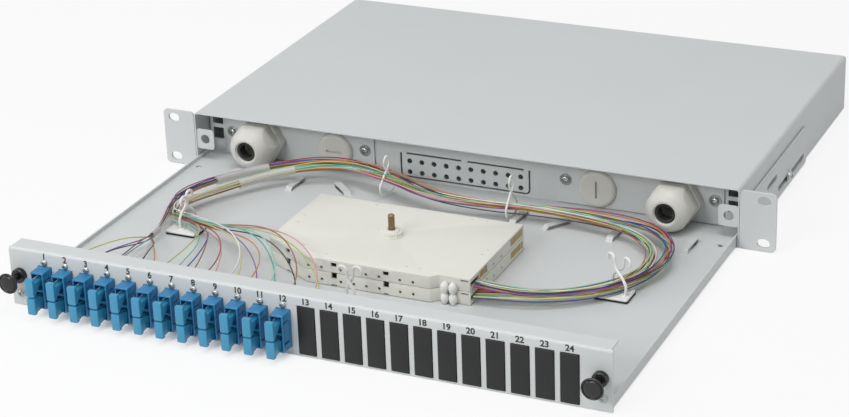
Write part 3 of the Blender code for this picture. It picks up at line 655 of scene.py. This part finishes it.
def dust_cap_mesh():
    """Two caps, one above the other: each a grip in front, a sloping neck, and a plug in the coupler."""
    half = 0.0031
    shapes = (
        ((-0.0006, 0.0126), (0.0060, 0.0088), (-0.0002, 0.0090), 0.0028),
        ((-0.0135, -0.0014), (-0.0118, -0.0040), (-0.0124, -0.0020), 0.0025),
    )
    parts = []
    for (low, high), (rear_low, rear_high), (front_low, front_high), neck_half in shapes:
        grip = extruded(rounded(-half, half, low, high, 0.0011), 0.0174, 0.0204)
        parts.append(moved(softened(grip, 0.0006, 2), FACE_FRONT))
        outline = [(0.0107, rear_low), (0.0178, front_low), (0.0178, front_high), (0.0107, rear_high)]
        neck = softened(extruded(outline, -neck_half, neck_half), 0.0003)
        parts.append(moved(neck, SIDE_ON))
        plug = block((-0.0026, -0.0110, rear_low + 0.0003), (0.0026, -0.0042, rear_high - 0.0003))
        parts.append(softened(plug, 0.0003))
    return smooth(merged(parts))


def make_ports():
    adapter = adapter_mesh()
    cap = dust_cap_mesh()
    for port in range(1, ADAPTERS + 1):
        place = at(port_x(port), PANEL_Y, ADAPTER_Z)
        name = "%02d" % port
        piece("coupler_" + name, adapter, deep_blue_plastic,
              nodes=["adapter_" + name], matrix=place)
        piece("cap_pair_" + name, cap, blue_plastic,
              nodes=["dust_cap_" + name], matrix=place)


def make_blanks():
    """Black blanks in the unused ports, joined by a strip behind the panel."""
    half_x, half_z = BLANK_HALF
    back = PANEL_SHEET + 0.0006
    face = extruded(rounded(-half_x, half_x, -half_z, half_z, 0.0009), -back, 0.0008)
    face = moved(softened(face, 0.00035, 3), FACE_FRONT)
    blanks = []
    for port in range(ADAPTERS + 1, PORTS + 1):
        blanks.append(moved(face.copy(), at(port_x(port), PANEL_Y, BLANK_Z)))
    first = port_x(ADAPTERS + 1)
    last = port_x(PORTS)
    strip = block((first - 0.006, PANEL_Y + back + 0.00005, BLANK_Z - 0.011),
                  (last + 0.006, PANEL_Y + back + 0.0009, BLANK_Z + 0.014))
    blanks.append(softened(strip, 0.0003))
    piece("port_blanks", smooth(merged(blanks)), blank_plastic,
          nodes=["port_blank_strip"])


def printed_numbers():
    """Port numbers printed on the panel above the ports."""
    digits = []
    for port in range(1, PORTS + 1):
        text = bpy.data.curves.new("number", "FONT")
        text.body = str(port)
        text.align_x = "CENTER"
        text.align_y = "CENTER"
        text.size = NUMBER_SIZE
        text.offset = 0.00012
        text.extrude = 0.00002
        text.bevel_depth = 0.00006
        text.bevel_resolution = 0
        place = at(port_x(port), PANEL_Y - 0.00003, NUMBER_Z, FACE_FRONT)
        digits.append(moved(evaluated(scratch(text)), place))
    piece("port_numbers", merged(digits), ink)


def cross_screw_mesh(radius, height):
    """A pan head with a cross recess, its seat at zero."""
    crown = [(0.0, 1.0), (0.45, 0.97), (0.78, 0.80), (0.95, 0.50), (1.0, 0.15)]
    profile = [(radius * across, height * up) for across, up in crown]
    head = turned(profile + [(radius, -0.0002), (0.0, -0.0002)], 28)
    arm = 0.62 * radius
    width = 0.13 * radius
    deep = 0.35 * height
    head = cut(head, block((-arm, -width, deep), (arm, width, 2 * height)),
               block((-width, -arm, deep), (width, arm, 2 * height)))
    return smooth(head, 50)


def washer_mesh(outer, inner, height):
    profile = [(inner, height), (outer, height), (outer, 0.0), (inner, 0.0), (inner, height)]
    return smooth(softened(turned(profile, 32), 0.00015))


def make_screws():
    small = cross_screw_mesh(0.0023, 0.0015)
    for port in range(1, ADAPTERS + 1):
        place = at(port_x(port), PANEL_Y, PORT_SCREW_Z, FACE_FRONT)
        piece("port_screw_%02d" % port, small, zinc, matrix=place)
    ring = washer_mesh(0.0031, 0.0014, 0.0005)
    plate_screw = cross_screw_mesh(0.0029, 0.0019)
    plate_washer = washer_mesh(0.0045, 0.0016, PLATE_WASHER)
    ear_screw = cross_screw_mesh(0.0034, 0.0021)
    ear_washer = washer_mesh(0.0050, 0.0018, EAR_WASHER)
    for side_name, side in SIDES:
        corner = at(side * PANEL_SCREW_X, PANEL_Y, PANEL_SCREW_Z, FACE_FRONT)
        piece("panel_screw_" + side_name, small, zinc, matrix=corner)
        piece("panel_ring_" + side_name, ring, zinc, matrix=corner)
        for where, x in PLATE_SCREWS:
            name = "plate_%s_%s" % (where, side_name)
            place = at(side * x, PLATE_Y - PLATE_WASHER, PLATE_SCREW_Z, FACE_FRONT)
            piece(name + "_screw", plate_screw, zinc, matrix=place)
            place = at(side * x, PLATE_Y, PLATE_SCREW_Z, FACE_FRONT)
            piece(name + "_washer", plate_washer, zinc, matrix=place)
        turn = FACE_RIGHT if side > 0 else FACE_LEFT
        for reach, mesh, name in ((EAR_WASHER, ear_screw, "screw"), (0.0, ear_washer, "washer")):
            place = at(side * (abs(EAR_SIDE_X) + reach), FRONT_Y + EAR_SCREW_BACK, EAR_SCREW_Z, turn)
            piece("ear_%s_%s" % (name, side_name), mesh, zinc, "housing", matrix=place)


def latch_knob_mesh():
    """A slightly domed knob with a groove inside its round rim, on a stem."""
    face = [(0.0, 0.0168), (0.0030, 0.0167), (0.0050, 0.0164), (0.0057, 0.0160), (0.0060, 0.0152),
            (0.0062, 0.0152)]
    rim = arc((0.0067, 0.0153), 0.0007, 135, -40, 8)
    stem = [(0.0064, 0.0140), (0.0022, 0.0137), (0.0022, -0.0062), (0.0016, -0.0070), (0.0, -0.0070)]
    profile = face + rim + stem
    return smooth(turned(profile, 40), 45)


def latch_grommet_mesh():
    """A collar in front of the panel, and a slit sleeve behind it."""
    bore = 0.0025
    profile = ([(bore, 0.0042), (0.0036, 0.0042)] + arc((0.0042, 0.0032), 0.0010, 90, 0, 5)
               + [(0.0052, GAP), (0.0031, GAP), (0.0031, -0.0100), (0.0028, -0.0110), (bore, -0.0110),
                  (bore, 0.0042)])
    sleeve = turned(profile, 32)
    gaps = [block((-0.006, -0.0004, -0.02), (0.006, 0.0004, -0.002)),
            block((-0.0004, -0.006, -0.02), (0.0004, 0.006, -0.002))]
    return smooth(cut(sleeve, *gaps), 45)


def make_latches():
    knob = latch_knob_mesh()
    grommet = latch_grommet_mesh()
    for side in ("left", "right"):
        middle = middle_of("latch_plunger_" + side)
        place = at(middle.x, PANEL_Y, middle.z, FACE_FRONT)
        piece("latch_knob_" + side, knob, black_plastic, side + "_plunger",
              ["latch_plunger_" + side], place)
        piece("latch_sleeve_" + side, grommet, black_plastic, "drawer",
              ["latch_grommet_" + side], place)


def gland_body_mesh():
    """A rounded hexagon on the plate, a threaded shank behind it and a neck for the dome nut."""
    flats = 0.0330
    bore = 0.0080
    corner = flats / math.sqrt(3) - 0.0004
    rounding = turned([(0.0, 0.0086), (corner - 0.0017, 0.0086), (corner, 0.0074), (corner, 0.0012),
                       (corner - 0.0010, 0.0), (0.0, 0.0)], 48)
    hexes = softened(combined(extruded(hexagon(flats), GAP, 0.0085), "INTERSECT", [rounding]), 0.0003)
    thread = []
    for turn in range(9):
        crest = -0.0003 - 0.0012 * turn
        thread += [(0.0124, crest), (0.0117, crest - 0.0005)]
    shank = turned([(0.0, 0.002), (0.0117, 0.002)] + thread + [(0.0, -0.0110)], 40)
    neck = turned([(0.0, 0.0205), (0.0110, 0.0205), (0.0116, 0.0200), (0.0116, 0.0080), (0.0, 0.0080)], 40)
    return smooth(cut(joined(hexes, shank, neck), rod(bore, -0.02, 0.03, 36)))


def dome_nut_mesh():
    """A hexagon whose flats run forward into a dome round the cable's way in."""
    flats = 0.0316
    corner = flats / math.sqrt(3) - 0.0004
    profile = [(0.0, 0.0312), (0.0094, 0.0312)] + arc((0.0094, 0.0302), 0.0010, 90, 60, 2)
    profile += [(0.0118, 0.0300), (0.0134, 0.0288), (0.0148, 0.0270), (0.0159, 0.0247),
                (0.0168, 0.0219), (0.0175, 0.0187)]
    profile += [(corner, 0.0150), (corner, 0.0098), (corner - 0.0008, 0.0088), (0.0, 0.0088)]
    nut = combined(extruded(hexagon(flats), 0.0086, 0.0330), "INTERSECT", [turned(profile, 72)])
    mouth = turned([(0.0, 0.04), (0.0084, 0.04), (0.0084, 0.0306), (0.0076, 0.0298), (0.0076, 0.0200),
                    (0.0, 0.0200)], 40)
    cavity = rod(0.0121, 0.0, 0.0210, 40)
    return smooth(cut(softened(nut, 0.0005, 3, 22), cavity, mouth))


def gland_seal_mesh():
    return smooth(turned([(0.0056, 0.0288), (0.0066, 0.0294), (0.0074, 0.0286), (0.0074, 0.0212),
                          (0.0056, 0.0212), (0.0056, 0.0288)], 36))


def back_nut_mesh():
    nut = softened(extruded(hexagon(0.0305), -0.0078, -0.0029), 0.0006, 3)
    return smooth(cut(nut, rod(0.0127, -0.02, 0.01, 40)))


def blanking_plug_mesh():
    radius = 0.0143
    profile = ([(0.0, 0.0036), (radius - 0.0040, 0.0036)] + arc((radius - 0.0032, 0.0004), 0.0032, 90, 0, 8)
               + [(radius, GAP), (0.0120, GAP), (0.0120, -0.0095), (0.0110, -0.0105), (0.0, -0.0105)])
    slot = softened(block((-0.0066, -0.0009, 0.0014), (0.0066, 0.0009, 0.008)), 0.0003)
    return smooth(cut(turned(profile, 48), slot))


def make_glands():
    """Two cable glands along Z of their own, with the plate's face at zero, and two blanking plugs."""
    body = gland_body_mesh()
    nut = dome_nut_mesh()
    seal = gland_seal_mesh()
    back_nut = back_nut_mesh()
    plug = blanking_plug_mesh()
    for side_name, side in SIDES:
        middle = middle_of("gland_dome_nut_" + side_name)
        place = at(middle.x, PLATE_Y, middle.z, FACE_FRONT)
        piece("cable_gland_" + side_name, body, grey_nylon,
              nodes=["gland_body_" + side_name], matrix=place)
        piece("dome_nut_" + side_name, nut, grey_nylon,
              nodes=["gland_dome_nut_" + side_name], matrix=place)
        piece("gland_seal_" + side_name, seal, seal_rubber, matrix=place)
        piece("gland_back_nut_" + side_name, back_nut, grey_nylon, matrix=place)
        plug_middle = middle_of("blanking_plug_" + side_name)
        turn = Matrix.Rotation(math.radians(45 + 45 * side), 4, "Y") @ FACE_FRONT
        plug_place = at(plug_middle.x, PLATE_Y, plug_middle.z, turn)
        piece("hole_plug_" + side_name, plug, grey_nylon,
              nodes=["blanking_plug_" + side_name], matrix=plug_place)


def cassette_outline(inset):
    right = CASSETTE_RIGHT - inset
    back = CASSETTE_BACK - inset
    front = BEVEL_END[1] + inset
    recess = front + CASSETTE_STEP
    slope = 0.4 * inset
    left = BEVEL_START[0] + inset
    return [(right, back), (left, back), (left, BEVEL_START[1] + slope), (BEVEL_END[0] + slope, front),
            (RECESS_START - slope, front), (RECESS_END - slope, recess), (right, recess)]


def square_cutter(low, high, half_width):
    """A square tool that reaches 4 mm to either side of the face it cuts, which lies at zero along Y."""
    return block((-half_width, -0.004, low), (half_width, 0.004, high))


def wall_opening(depth, stretch, z, half_height):
    """A tool that opens the cassette's right wall, down to a depth inside it."""
    y_low, y_high = stretch
    return block((CASSETTE_RIGHT - depth, y_low, z - half_height),
                 (CASSETTE_RIGHT + 0.0085, y_high, z + half_height))


def peg_drill():
    return rod(PEG_RADIUS, -0.0045, 0.0045, 18)


def cassette_layer(low, high, opens_up, stud):
    """One layer of the cassette: a walled tray, with rows of peg holes and marks in its front."""
    skin = 0.0014
    wall = 0.0016
    tray = softened(extruded(cassette_outline(0.0), low, high), 0.0005, 2)
    pocket_z = (low + skin, high + 0.005) if opens_up else (low - 0.005, high - skin)
    pocket = extruded(cassette_outline(wall), *pocket_z)
    hub = extruded(arc(stud, HUB_RADIUS, 0, 345, 23), low, high)
    stud_hole = extruded(arc(stud, STUD_HOLE_RADIUS, 0, 345, 23), low - 0.01, high + 0.01)
    tray = cut(joined(cut(tray, pocket), hub), stud_hole)
    middle = (low + high) / 2
    front = BEVEL_END[1]
    row = PEG_ROW_LOWER if opens_up else PEG_ROW_UPPER
    cutters = [moved(peg_drill(), at(x, front, row, FACE_FRONT)) for x in FRONT_PEGS]
    cutters += [moved(peg_drill(), at(CASSETTE_RIGHT, y, row, FACE_RIGHT)) for y in SIDE_PEGS]
    run = Vector(BEVEL_END) - Vector(BEVEL_START)
    bevel_middle = Vector(BEVEL_START) + run / 2
    bevel_turn = Matrix.Rotation(math.atan2(run.y, run.x), 4, "Z")
    faces = [at(x, front, 0.0) for x in FRONT_SQUARES] + [at(*bevel_middle, 0.0, bevel_turn)]
    heights = [(high - 0.0048, high - 0.0018)]
    if opens_up:
        heights = [(low - 0.001, low + 0.0012), (high - 0.0041, high + 0.001)]
    for face in faces:
        cutters += [moved(square_cutter(*height, SQUARE_HALF), face) for height in heights]
    corner_slit = square_cutter(high - 0.0024, high - 0.0012, 0.0027)
    corner_slit = moved(corner_slit, at(CORNER_SLIT_X, front + CASSETTE_STEP, 0.0))
    cutters.append(wall_opening(0.0035, FIBRE_EXIT, middle, EXIT_HALF))
    cutters += [wall_opening(0.0030, window, middle, WINDOW_HALF) for window in CASSETTE_WINDOWS]
    if not opens_up:
        mark = block((-0.0011, -0.0005, -0.0005), (0.0011, 0.0005, 0.001))
        cutters += [moved(mark.copy(), at(x, y, high)) for x, y in CASSETTE_MARKS]
    return cut(tray, merged(cutters), corner_slit)


def splice_comb_mesh(y_low, y_high, low, high):
    """A comb that holds splices behind a window of the cassette, with slots 2.2 mm apart."""
    comb = block((0.0748, y_low + 0.0004, low + 0.0015), (0.0806, y_high - 0.0004, high - 0.0015))
    pitch = 0.0022
    count = int((y_high - y_low) / pitch) - 1
    slots = []
    for i in range(count):
        y = y_low + pitch * (i + 1)
        slots.append(block((0.0802, y, 0.0), (0.09, y + 0.0008, 0.05)))
    return cut(softened(comb, 0.0003), merged(slots))


def stud_mesh(low, high):
    """A threaded stud between two heights, with a chamfered end."""
    turns = 26
    pitch = (high - low - 0.0012) / turns
    profile = [(0.0, high), (0.0017, high), (0.0022, high - 0.0005)]
    for turn in range(turns):
        z = high - 0.0010 - pitch * turn
        profile += [(0.0024, z), (0.00205, z - pitch / 2)]
    return smooth(turned(profile + [(0.0021, low), (0.0, low)], 24), 60)


def cassette_nut_mesh():
    """A knurled nut with a thin flange and a raised crown, its seat at zero."""
    ribs = 26
    step = 180 / ribs
    rim = []
    for i in range(ribs):
        for radius, start in ((0.0077, 2 * i * step), (0.0072, (2 * i + 1) * step)):
            rim += arc((0.0, 0.0), radius, start, start + 0.6 * step, 1)
    knurl = softened(extruded(rim, 0.0005, 0.0034), 0.0002, 1)
    flange = [(0.0, 0.0008), (0.0079, 0.0008), (0.0082, 0.0006), (0.0082, 0.0001), (0.0, 0.0001)]
    crown = [(0.0, 0.0044), (0.0049, 0.0044), (0.0056, 0.0039), (0.0058, 0.0026), (0.0, 0.0026)]
    return smooth(cut(joined(knurl, turned(flange, 40), turned(crown, 32)), rod(0.0026, -0.01, 0.01, 24)))


def guide_bulb_mesh():
    """An egg-shaped finger that guides the fibres, cut flat below."""
    profile = [(0.0, 0.0040)]
    for angle in range(15, 150, 15):
        turn = math.radians(angle)
        profile.append((0.0029 * math.sin(turn), 0.0040 * math.cos(turn)))
    return smooth(turned(profile + [(0.0014, -0.0040), (0.0, -0.0040)], 24), 60)


def make_cassette():
    into_drawer = at(0.0, FRONT_Y, 0.0)
    stud_low, stud_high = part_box("cassette_stud")
    stud = middle_of("cassette_stud")
    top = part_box("splice_tray_upper")[1].z
    for name, opens_up in (("lower", True), ("upper", False)):
        low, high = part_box("splice_tray_" + name)
        layer = cassette_layer(low.z, high.z, opens_up, (stud.x, stud.y - FRONT_Y))
        piece("cassette_" + name, smooth(moved(layer, into_drawer), 30), cream_plastic,
              nodes=["splice_tray_" + name])
        for number, window in enumerate(CASSETTE_WINDOWS, start=1):
            comb = moved(splice_comb_mesh(*window, low.z, high.z), into_drawer)
            piece("splice_comb_%s_%d" % (name, number), comb, amber_plastic)
    piece("stud", stud_mesh(stud_low.z, stud_high.z), stud_brass,
          nodes=["cassette_stud"], matrix=at(stud.x, stud.y, 0.0))
    piece("cassette_nut", cassette_nut_mesh(), cream_plastic, matrix=at(stud.x, stud.y, top))
    bulb = guide_bulb_mesh()
    for row, z in GUIDE_BULB_ROWS:
        for column, x in GUIDE_BULB_COLUMNS:
            piece("guide_bulb_%s_%s" % (row, column), bulb, white_nylon,
                  matrix=at(x, FRONT_Y + GUIDE_BULB_Y, z))


def route_point(route, place):
    """A point at a share of the way along a smooth curve through the route's points."""
    spans = len(route) - 1
    span = min(int(place * spans), spans - 1)
    t = place * spans - span
    a = Vector(route[max(span - 1, 0)])
    b = Vector(route[span])
    c = Vector(route[span + 1])
    d = Vector(route[min(span + 2, spans)])
    return 0.5 * (2 * b + (c - a) * t + (2 * a - 5 * b + 4 * c - d) * t ** 2
                  + (3 * b - a - 3 * c + d) * t ** 3)


def route_heading(route, place):
    step = 0.004
    flat = route_point(route, min(place + step, 1.0)) - route_point(route, max(place - step, 0.0))
    flat.z = 0.0
    return flat.normalized()


def rise(place, low, high):
    """Rises smoothly from 0 at low to 1 halfway and back to 0 at high."""
    share = (place - low) / (high - low)
    if share <= 0.0 or share >= 1.0:
        return 0.0
    return math.sin(math.pi * share) ** 2


def bundle_spread(place):
    """How far each half of the bundle stands off its middle line: apart in the loop and at the left."""
    return LOOP_SPREAD * rise(place, *LOOP_STRETCH) + LEFT_SPREAD * rise(place, *LEFT_STRETCH)


def curve_between(start, lead_in, end, lead_out, steps, hump):
    """Points after start on a smooth curve that leaves along lead_in and arrives along lead_out."""
    points = []
    for i in range(1, steps + 1):
        t = i / steps
        place = (start * (2 * t ** 3 - 3 * t ** 2 + 1) + lead_in * (t ** 3 - 2 * t ** 2 + t)
                 + end * (3 * t ** 2 - 2 * t ** 3) + lead_out * (t ** 3 - t ** 2))
        place.z += hump * math.sin(math.pi * t) ** 2
        points.append(place)
    return points


def pigtail_route(adapter, strand, wander):
    """The path of one strand of an adapter's pair, from the cassette to the boot of its plug."""
    column = (adapter - 1) // 2
    row = 1 if adapter % 2 == 0 else -1
    outer = 1 if column < MIDDLE_COLUMN else -1
    leaves_early = column < EARLY_COLUMNS
    trunk_points = LEFT_TRUNK_POINTS if leaves_early else TRUNK_POINTS
    points = []
    for i in range(trunk_points):
        place = i / (TRUNK_POINTS - 1)
        heading = route_heading(TRUNK_ROUTE, place)
        right = Vector((heading.y, -heading.x, 0.0))
        spread = bundle_spread(place)
        exit_lift = EXIT_SPREAD * max(0.0, 1.0 - place / EXIT_STRETCH) ** 2
        free = min(1.0, place / LOOSENING_STRETCH)
        drift, lift, twist = wander(place)
        calm = 1.0 - CALMING * rise(place, *CALM_STRETCH)
        drift *= calm
        lift *= calm
        turn = math.radians(90) + twist * free
        across = (MIDDLE_COLUMN - column) * PIGTAIL_PITCH * (1.0 - BUNDLE_SQUEEZE * free) + outer * spread
        across += PAIR_HALF * strand * math.cos(turn) + drift * free
        up = row * (PIGTAIL_PITCH / 2 + exit_lift) + PAIR_HALF * strand * math.sin(turn) + lift * free
        points.append(route_point(TRUNK_ROUTE, place) + right * across + Vector((0, 0, up)))
    start = points[-1]
    end = Vector((port_x(adapter), PANEL_Y - FRONT_Y + BOOT_END, ADAPTER_Z + strand * BOOT_Z))
    lead = 1.15
    hump = LAST_HUMP if adapter >= ADAPTERS - 1 else HUMP_STEP * (adapter - 3) + HUMP_OF_ROW * row
    to_front = Vector((0.0, -1.0, 0.0))
    if leaves_early:
        beside = Vector(((column - 0.5) * 0.0011, 0.0, row * 0.0011 + strand * 0.0005))
        gather = Vector(LEFT_GATHER) + beside
        reach = (gather - start).length
        points += curve_between(start, heading * reach, gather, to_front * reach, GATHER_POINTS, 0.0)
        start = gather
        heading = to_front
        lead = 0.5
        hump = 0.002
    reach = (end - start).length
    tail = curve_between(start, heading * reach * lead, end, to_front * reach, TAIL_POINTS, hump)
    for i, place in enumerate(tail, start=1):
        drift, lift, twist = wander(1.0 + 0.25 * i / TAIL_POINTS)
        sway = math.sin(math.pi * i / TAIL_POINTS)
        points.append(place + Vector((drift, 0.5 * drift, lift)) * sway)
    return points


def make_wander(dice):
    """Slow sideways and upward drifts of one strand along its way, and its twist about its pair."""
    waves = [(dice.uniform(*WAVE_RATES), dice.uniform(0.0, LAST_PHASE)) for wave in range(4)]
    spin = dice.uniform(-MOST_TWIST, MOST_TWIST)

    def wander(place):
        sway = [math.sin(rate * math.pi * place + phase) for rate, phase in waves]
        drift = DRIFTS[0] * sway[0] + DRIFTS[1] * sway[1]
        lift = LIFTS[0] * sway[2] + LIFTS[1] * sway[3]
        return drift, lift, spin * place

    return wander


def make_pigtails():
    dice = random.Random(7)
    names = [name for name, colour in FIBRE_COLOURS]
    for adapter in range(1, ADAPTERS + 1):
        for strand in (-1, 1):
            step = SECOND_COLOUR_STEP if strand < 0 else 0
            colour = names[(adapter - 1 + step) % len(names)]
            coarse = pigtail_route(adapter, strand, make_wander(dice))
            samples = (len(coarse) - 1) * 5
            fine = [route_point(coarse, i / samples) + Vector((0, FRONT_Y, 0)) for i in range(samples + 1)]
            for point in fine:
                point.z = max(point.z, FLOOR_TOP + STRAND_RADIUS + 0.0002)
            name = "strand_%02d_%s" % (adapter, "upper" if strand > 0 else "lower")
            piece(name, swept(fine, STRAND_RADIUS), jackets[colour],
                  nodes=["pigtail_%02d" % adapter])


def make_sleeves():
    """Milky sleeves round the two halves of the bundle, and round the fibres of the first four adapters."""
    for name, side, first, last in SLEEVES:
        path = []
        for i in range(21):
            place = first + (last - first) * i / 20
            heading = route_heading(TRUNK_ROUTE, place)
            right = Vector((heading.y, -heading.x, 0.0))
            across = side * (1.5 * SQUEEZED_PITCH + bundle_spread(place))
            path.append(route_point(TRUNK_ROUTE, place) + right * across + Vector((0, FRONT_Y, 0)))
        piece("fibre_sleeve_" + name, swept(path, SLEEVE_RADIUS, 5), film)
    leave = (LEFT_TRUNK_POINTS - 1) / (TRUNK_POINTS - 1)
    heading = route_heading(TRUNK_ROUTE, leave)
    beside = Vector((heading.y, -heading.x, 0.0)) * (2.0 * SQUEEZED_PITCH)
    start = route_point(TRUNK_ROUTE, leave) + beside
    end = Vector(LEFT_GATHER)
    reach = (end - start).length
    middle_line = curve_between(start, heading * reach, end, Vector((0.0, -reach, 0.0)), 40, 0.0)
    path = [point + Vector((0, FRONT_Y, 0)) for point in middle_line[8:]]
    piece("fibre_sleeve_left", swept(path, LEFT_SLEEVE_RADIUS, 5), film)


def clip_meshes(x, y, angle, half_width, base_middle):
    """The foam, base and two curled wires of a fibre clip; the fibres run along local X."""
    length, width, height = CLIP_BASE
    low = FLOOR_TOP + GAP
    top = low + height
    base_place = Matrix.Rotation(-angle, 4, "Z") @ at(base_middle[0] - x, base_middle[1] - y, 0.0)
    outline = rounded(-length / 2, length / 2, -width / 2, width / 2, 0.0015)
    foam = moved(extruded(outline, low, low + CLIP_FOAM), base_place)
    edge = 0.0003
    outline = rounded(-length / 2 + edge, length / 2 - edge, -width / 2 + edge, width / 2 - edge, 0.0015)
    base = moved(softened(extruded(outline, low + CLIP_FOAM, top), 0.0004, 3), base_place)
    parts = [base]
    for side in (-1, 1):
        across = side * half_width
        aside = side * 0.0018
        rises = ((0.80, -0.0012), (1.0, 0.003), (1.0, 0.0075), (0.55, 0.0120), (-0.10, 0.0160),
                 (-0.30, 0.0205))
        route = [(aside, across * share, top + height) for share, height in rises]
        for i in range(5):
            turn = math.radians(25 + 48 * i)
            route.append((aside, -across * 0.30 - side * CLIP_CURL * (1 - math.cos(turn)),
                          top + 0.0220 + CLIP_CURL * math.sin(turn)))
        path = [route_point(route, i / 60) for i in range(61)]
        parts.append(swept(path, CLIP_WIRE, 3))
        pad = turned([(0.0, 0.0012), (0.0022, 0.0010), (0.0028, 0.0002), (0.0028, 0.0), (0.0, 0.0)], 20)
        parts.append(moved(pad, at(aside, across * 0.84, top - 0.0002)))
    return smooth(foam), smooth(merged(parts))


def make_clips():
    for name, values in (*CLIPS.items(), ("front", FRONT_CLIP)):
        foam, clip = clip_meshes(*values)
        place = at(values[0], FRONT_Y + values[1], 0.0, Matrix.Rotation(values[2], 4, "Z"))
        nodes = ["fibre_clip_" + name] if name in CLIPS else []
        piece("clip_" + name, clip, white_nylon, nodes=nodes, matrix=place)
        piece("clip_foam_" + name, foam, black_foam, matrix=place)


def make_bundle_ties():
    """White wire ties round the bundle, twisted together above it."""
    for number, (x, y, angle, half, low, high) in enumerate(BUNDLE_TIES, start=1):
        neck = low + 0.55 * (high - low)
        loop = 0.0022
        round_bundle = [(0.0, 0.0, low), (0.0, half * 0.8, low + 0.002), (0.0, half, low + 0.007),
                        (0.0, half * 0.6, neck - 0.004)]
        above_bundle = [(0.0003, 0.0008, neck + 0.001), (-0.0006, -0.0012, neck + 0.005),
                        (-0.0004, -loop, high - 0.004), (0.0, 0.0, high)]
        right = round_bundle + above_bundle
        left = [(-u, -v, z) for u, v, z in reversed(right)]
        route = right + left[1:]
        path = [route_point(route, i / 90) for i in range(91)]
        place = at(x, FRONT_Y + y, 0.0, Matrix.Rotation(angle, 4, "Z"))
        piece("bundle_tie_%d" % number, swept(path, TIE_WIRE, 2), white_nylon,
              matrix=place)


def make_camera():
    back = Vector((math.sin(CAMERA_AZIMUTH) * math.cos(CAMERA_ELEVATION),
                   -math.cos(CAMERA_AZIMUTH) * math.cos(CAMERA_ELEVATION), math.sin(CAMERA_ELEVATION)))
    level = (-back).cross(Vector((0, 0, 1))).normalized()
    upright = level.cross(-back)
    right = math.cos(CAMERA_ROLL) * level + math.sin(CAMERA_ROLL) * upright
    up = math.cos(CAMERA_ROLL) * upright - math.sin(CAMERA_ROLL) * level
    place = CAMERA_AIM + CAMERA_ASIDE * right + CAMERA_RAISED * up + CAMERA_DISTANCE * back
    data = bpy.data.cameras.new("camera")
    data.sensor_width = SENSOR_WIDTH
    data.lens = FOCAL_PIXELS * SENSOR_WIDTH / PHOTO_WIDTH
    camera = bpy.data.objects.new("camera", data)
    scene.collection.objects.link(camera)
    turn = Matrix((right, up, back)).transposed().to_4x4()
    camera.matrix_world = Matrix.Translation(place) @ turn
    scene.camera = camera


def soft_box(name, place, aim, size, power):
    data = bpy.data.lights.new(name, "AREA")
    data.shape = "RECTANGLE"
    data.size, data.size_y = size
    data.energy = power
    lamp = bpy.data.objects.new(name, data)
    scene.collection.objects.link(lamp)
    lamp.location = place
    lamp.rotation_euler = (Vector(aim) - Vector(place)).to_track_quat("-Z", "Y").to_euler()


def make_surroundings():
    """White to look at, and a soft cool light on the object."""
    scene.world = bpy.data.worlds.new("studio")
    sky = Nodes(scene.world)
    light = sky.node("ShaderNodeBackground", None, {"Color": SKY_COLOUR, "Strength": SKY_STRENGTH})
    backdrop = sky.node("ShaderNodeBackground", None, {"Color": PURE_WHITE, "Strength": 1.0})
    sky.show("World Output", sky.seen_directly(), light, backdrop)


def make_floor():
    """Pale paper that shows as white, with painted shade close to and under the object: there its glow is
    dimmed by ambient occlusion, so the lit paper and its real lamp shadow show through.
    """
    outline = rounded(-FLOOR_REACH, FLOOR_REACH, -FLOOR_REACH, FLOOR_REACH, 1.0)
    floor_mesh = extruded(outline, -0.012, -0.0002)
    floor = bpy.data.objects.new("floor", floor_mesh)
    scene.collection.objects.link(floor)
    paper = Finish("floor_paper")
    fibres = paper.grain(300.0, 3.0)
    tone = paper.blend(fibres, (0.80, 0.80, 0.80), (0.84, 0.84, 0.84))
    paper.surface(tone, 0.8, fibres, 0.0001, 0.1)
    glow = paper.node("ShaderNodeEmission", None, {"Color": PURE_WHITE})
    # Painted shade: the glow fades where ambient occlusion within 3 cm is strong, darkening the floor under
    # and beside the object.
    painted_shade_ao = paper.node("ShaderNodeAmbientOcclusion", {"samples": 8}, {"Distance": 0.03}, "AO")
    clamped = {"operation": "MULTIPLY", "use_clamp": True}
    painted_shade_share = paper.node("ShaderNodeMath", clamped, {0: painted_shade_ao, 1: 3.0})
    share = paper.seen_directly() * (FLOOR_GLOW * painted_shade_share)
    paper.show("Material Output", share, Signal(paper, paper.shader.outputs[0]), glow)
    floor_mesh.materials.append(paper.material)


def make_studio():
    """A pale floor and white surroundings, with soft light from above, the left and the front."""
    make_surroundings()
    make_floor()
    for lamp in LAMPS:
        soft_box(*lamp)


dress_sheet_metal()
make_ports()
make_blanks()
printed_numbers()
make_screws()
make_latches()
make_glands()
make_cassette()
make_pigtails()
make_sleeves()
make_clips()
make_bundle_ties()
make_camera()
make_studio()
scene.view_settings.view_transform = "Standard"
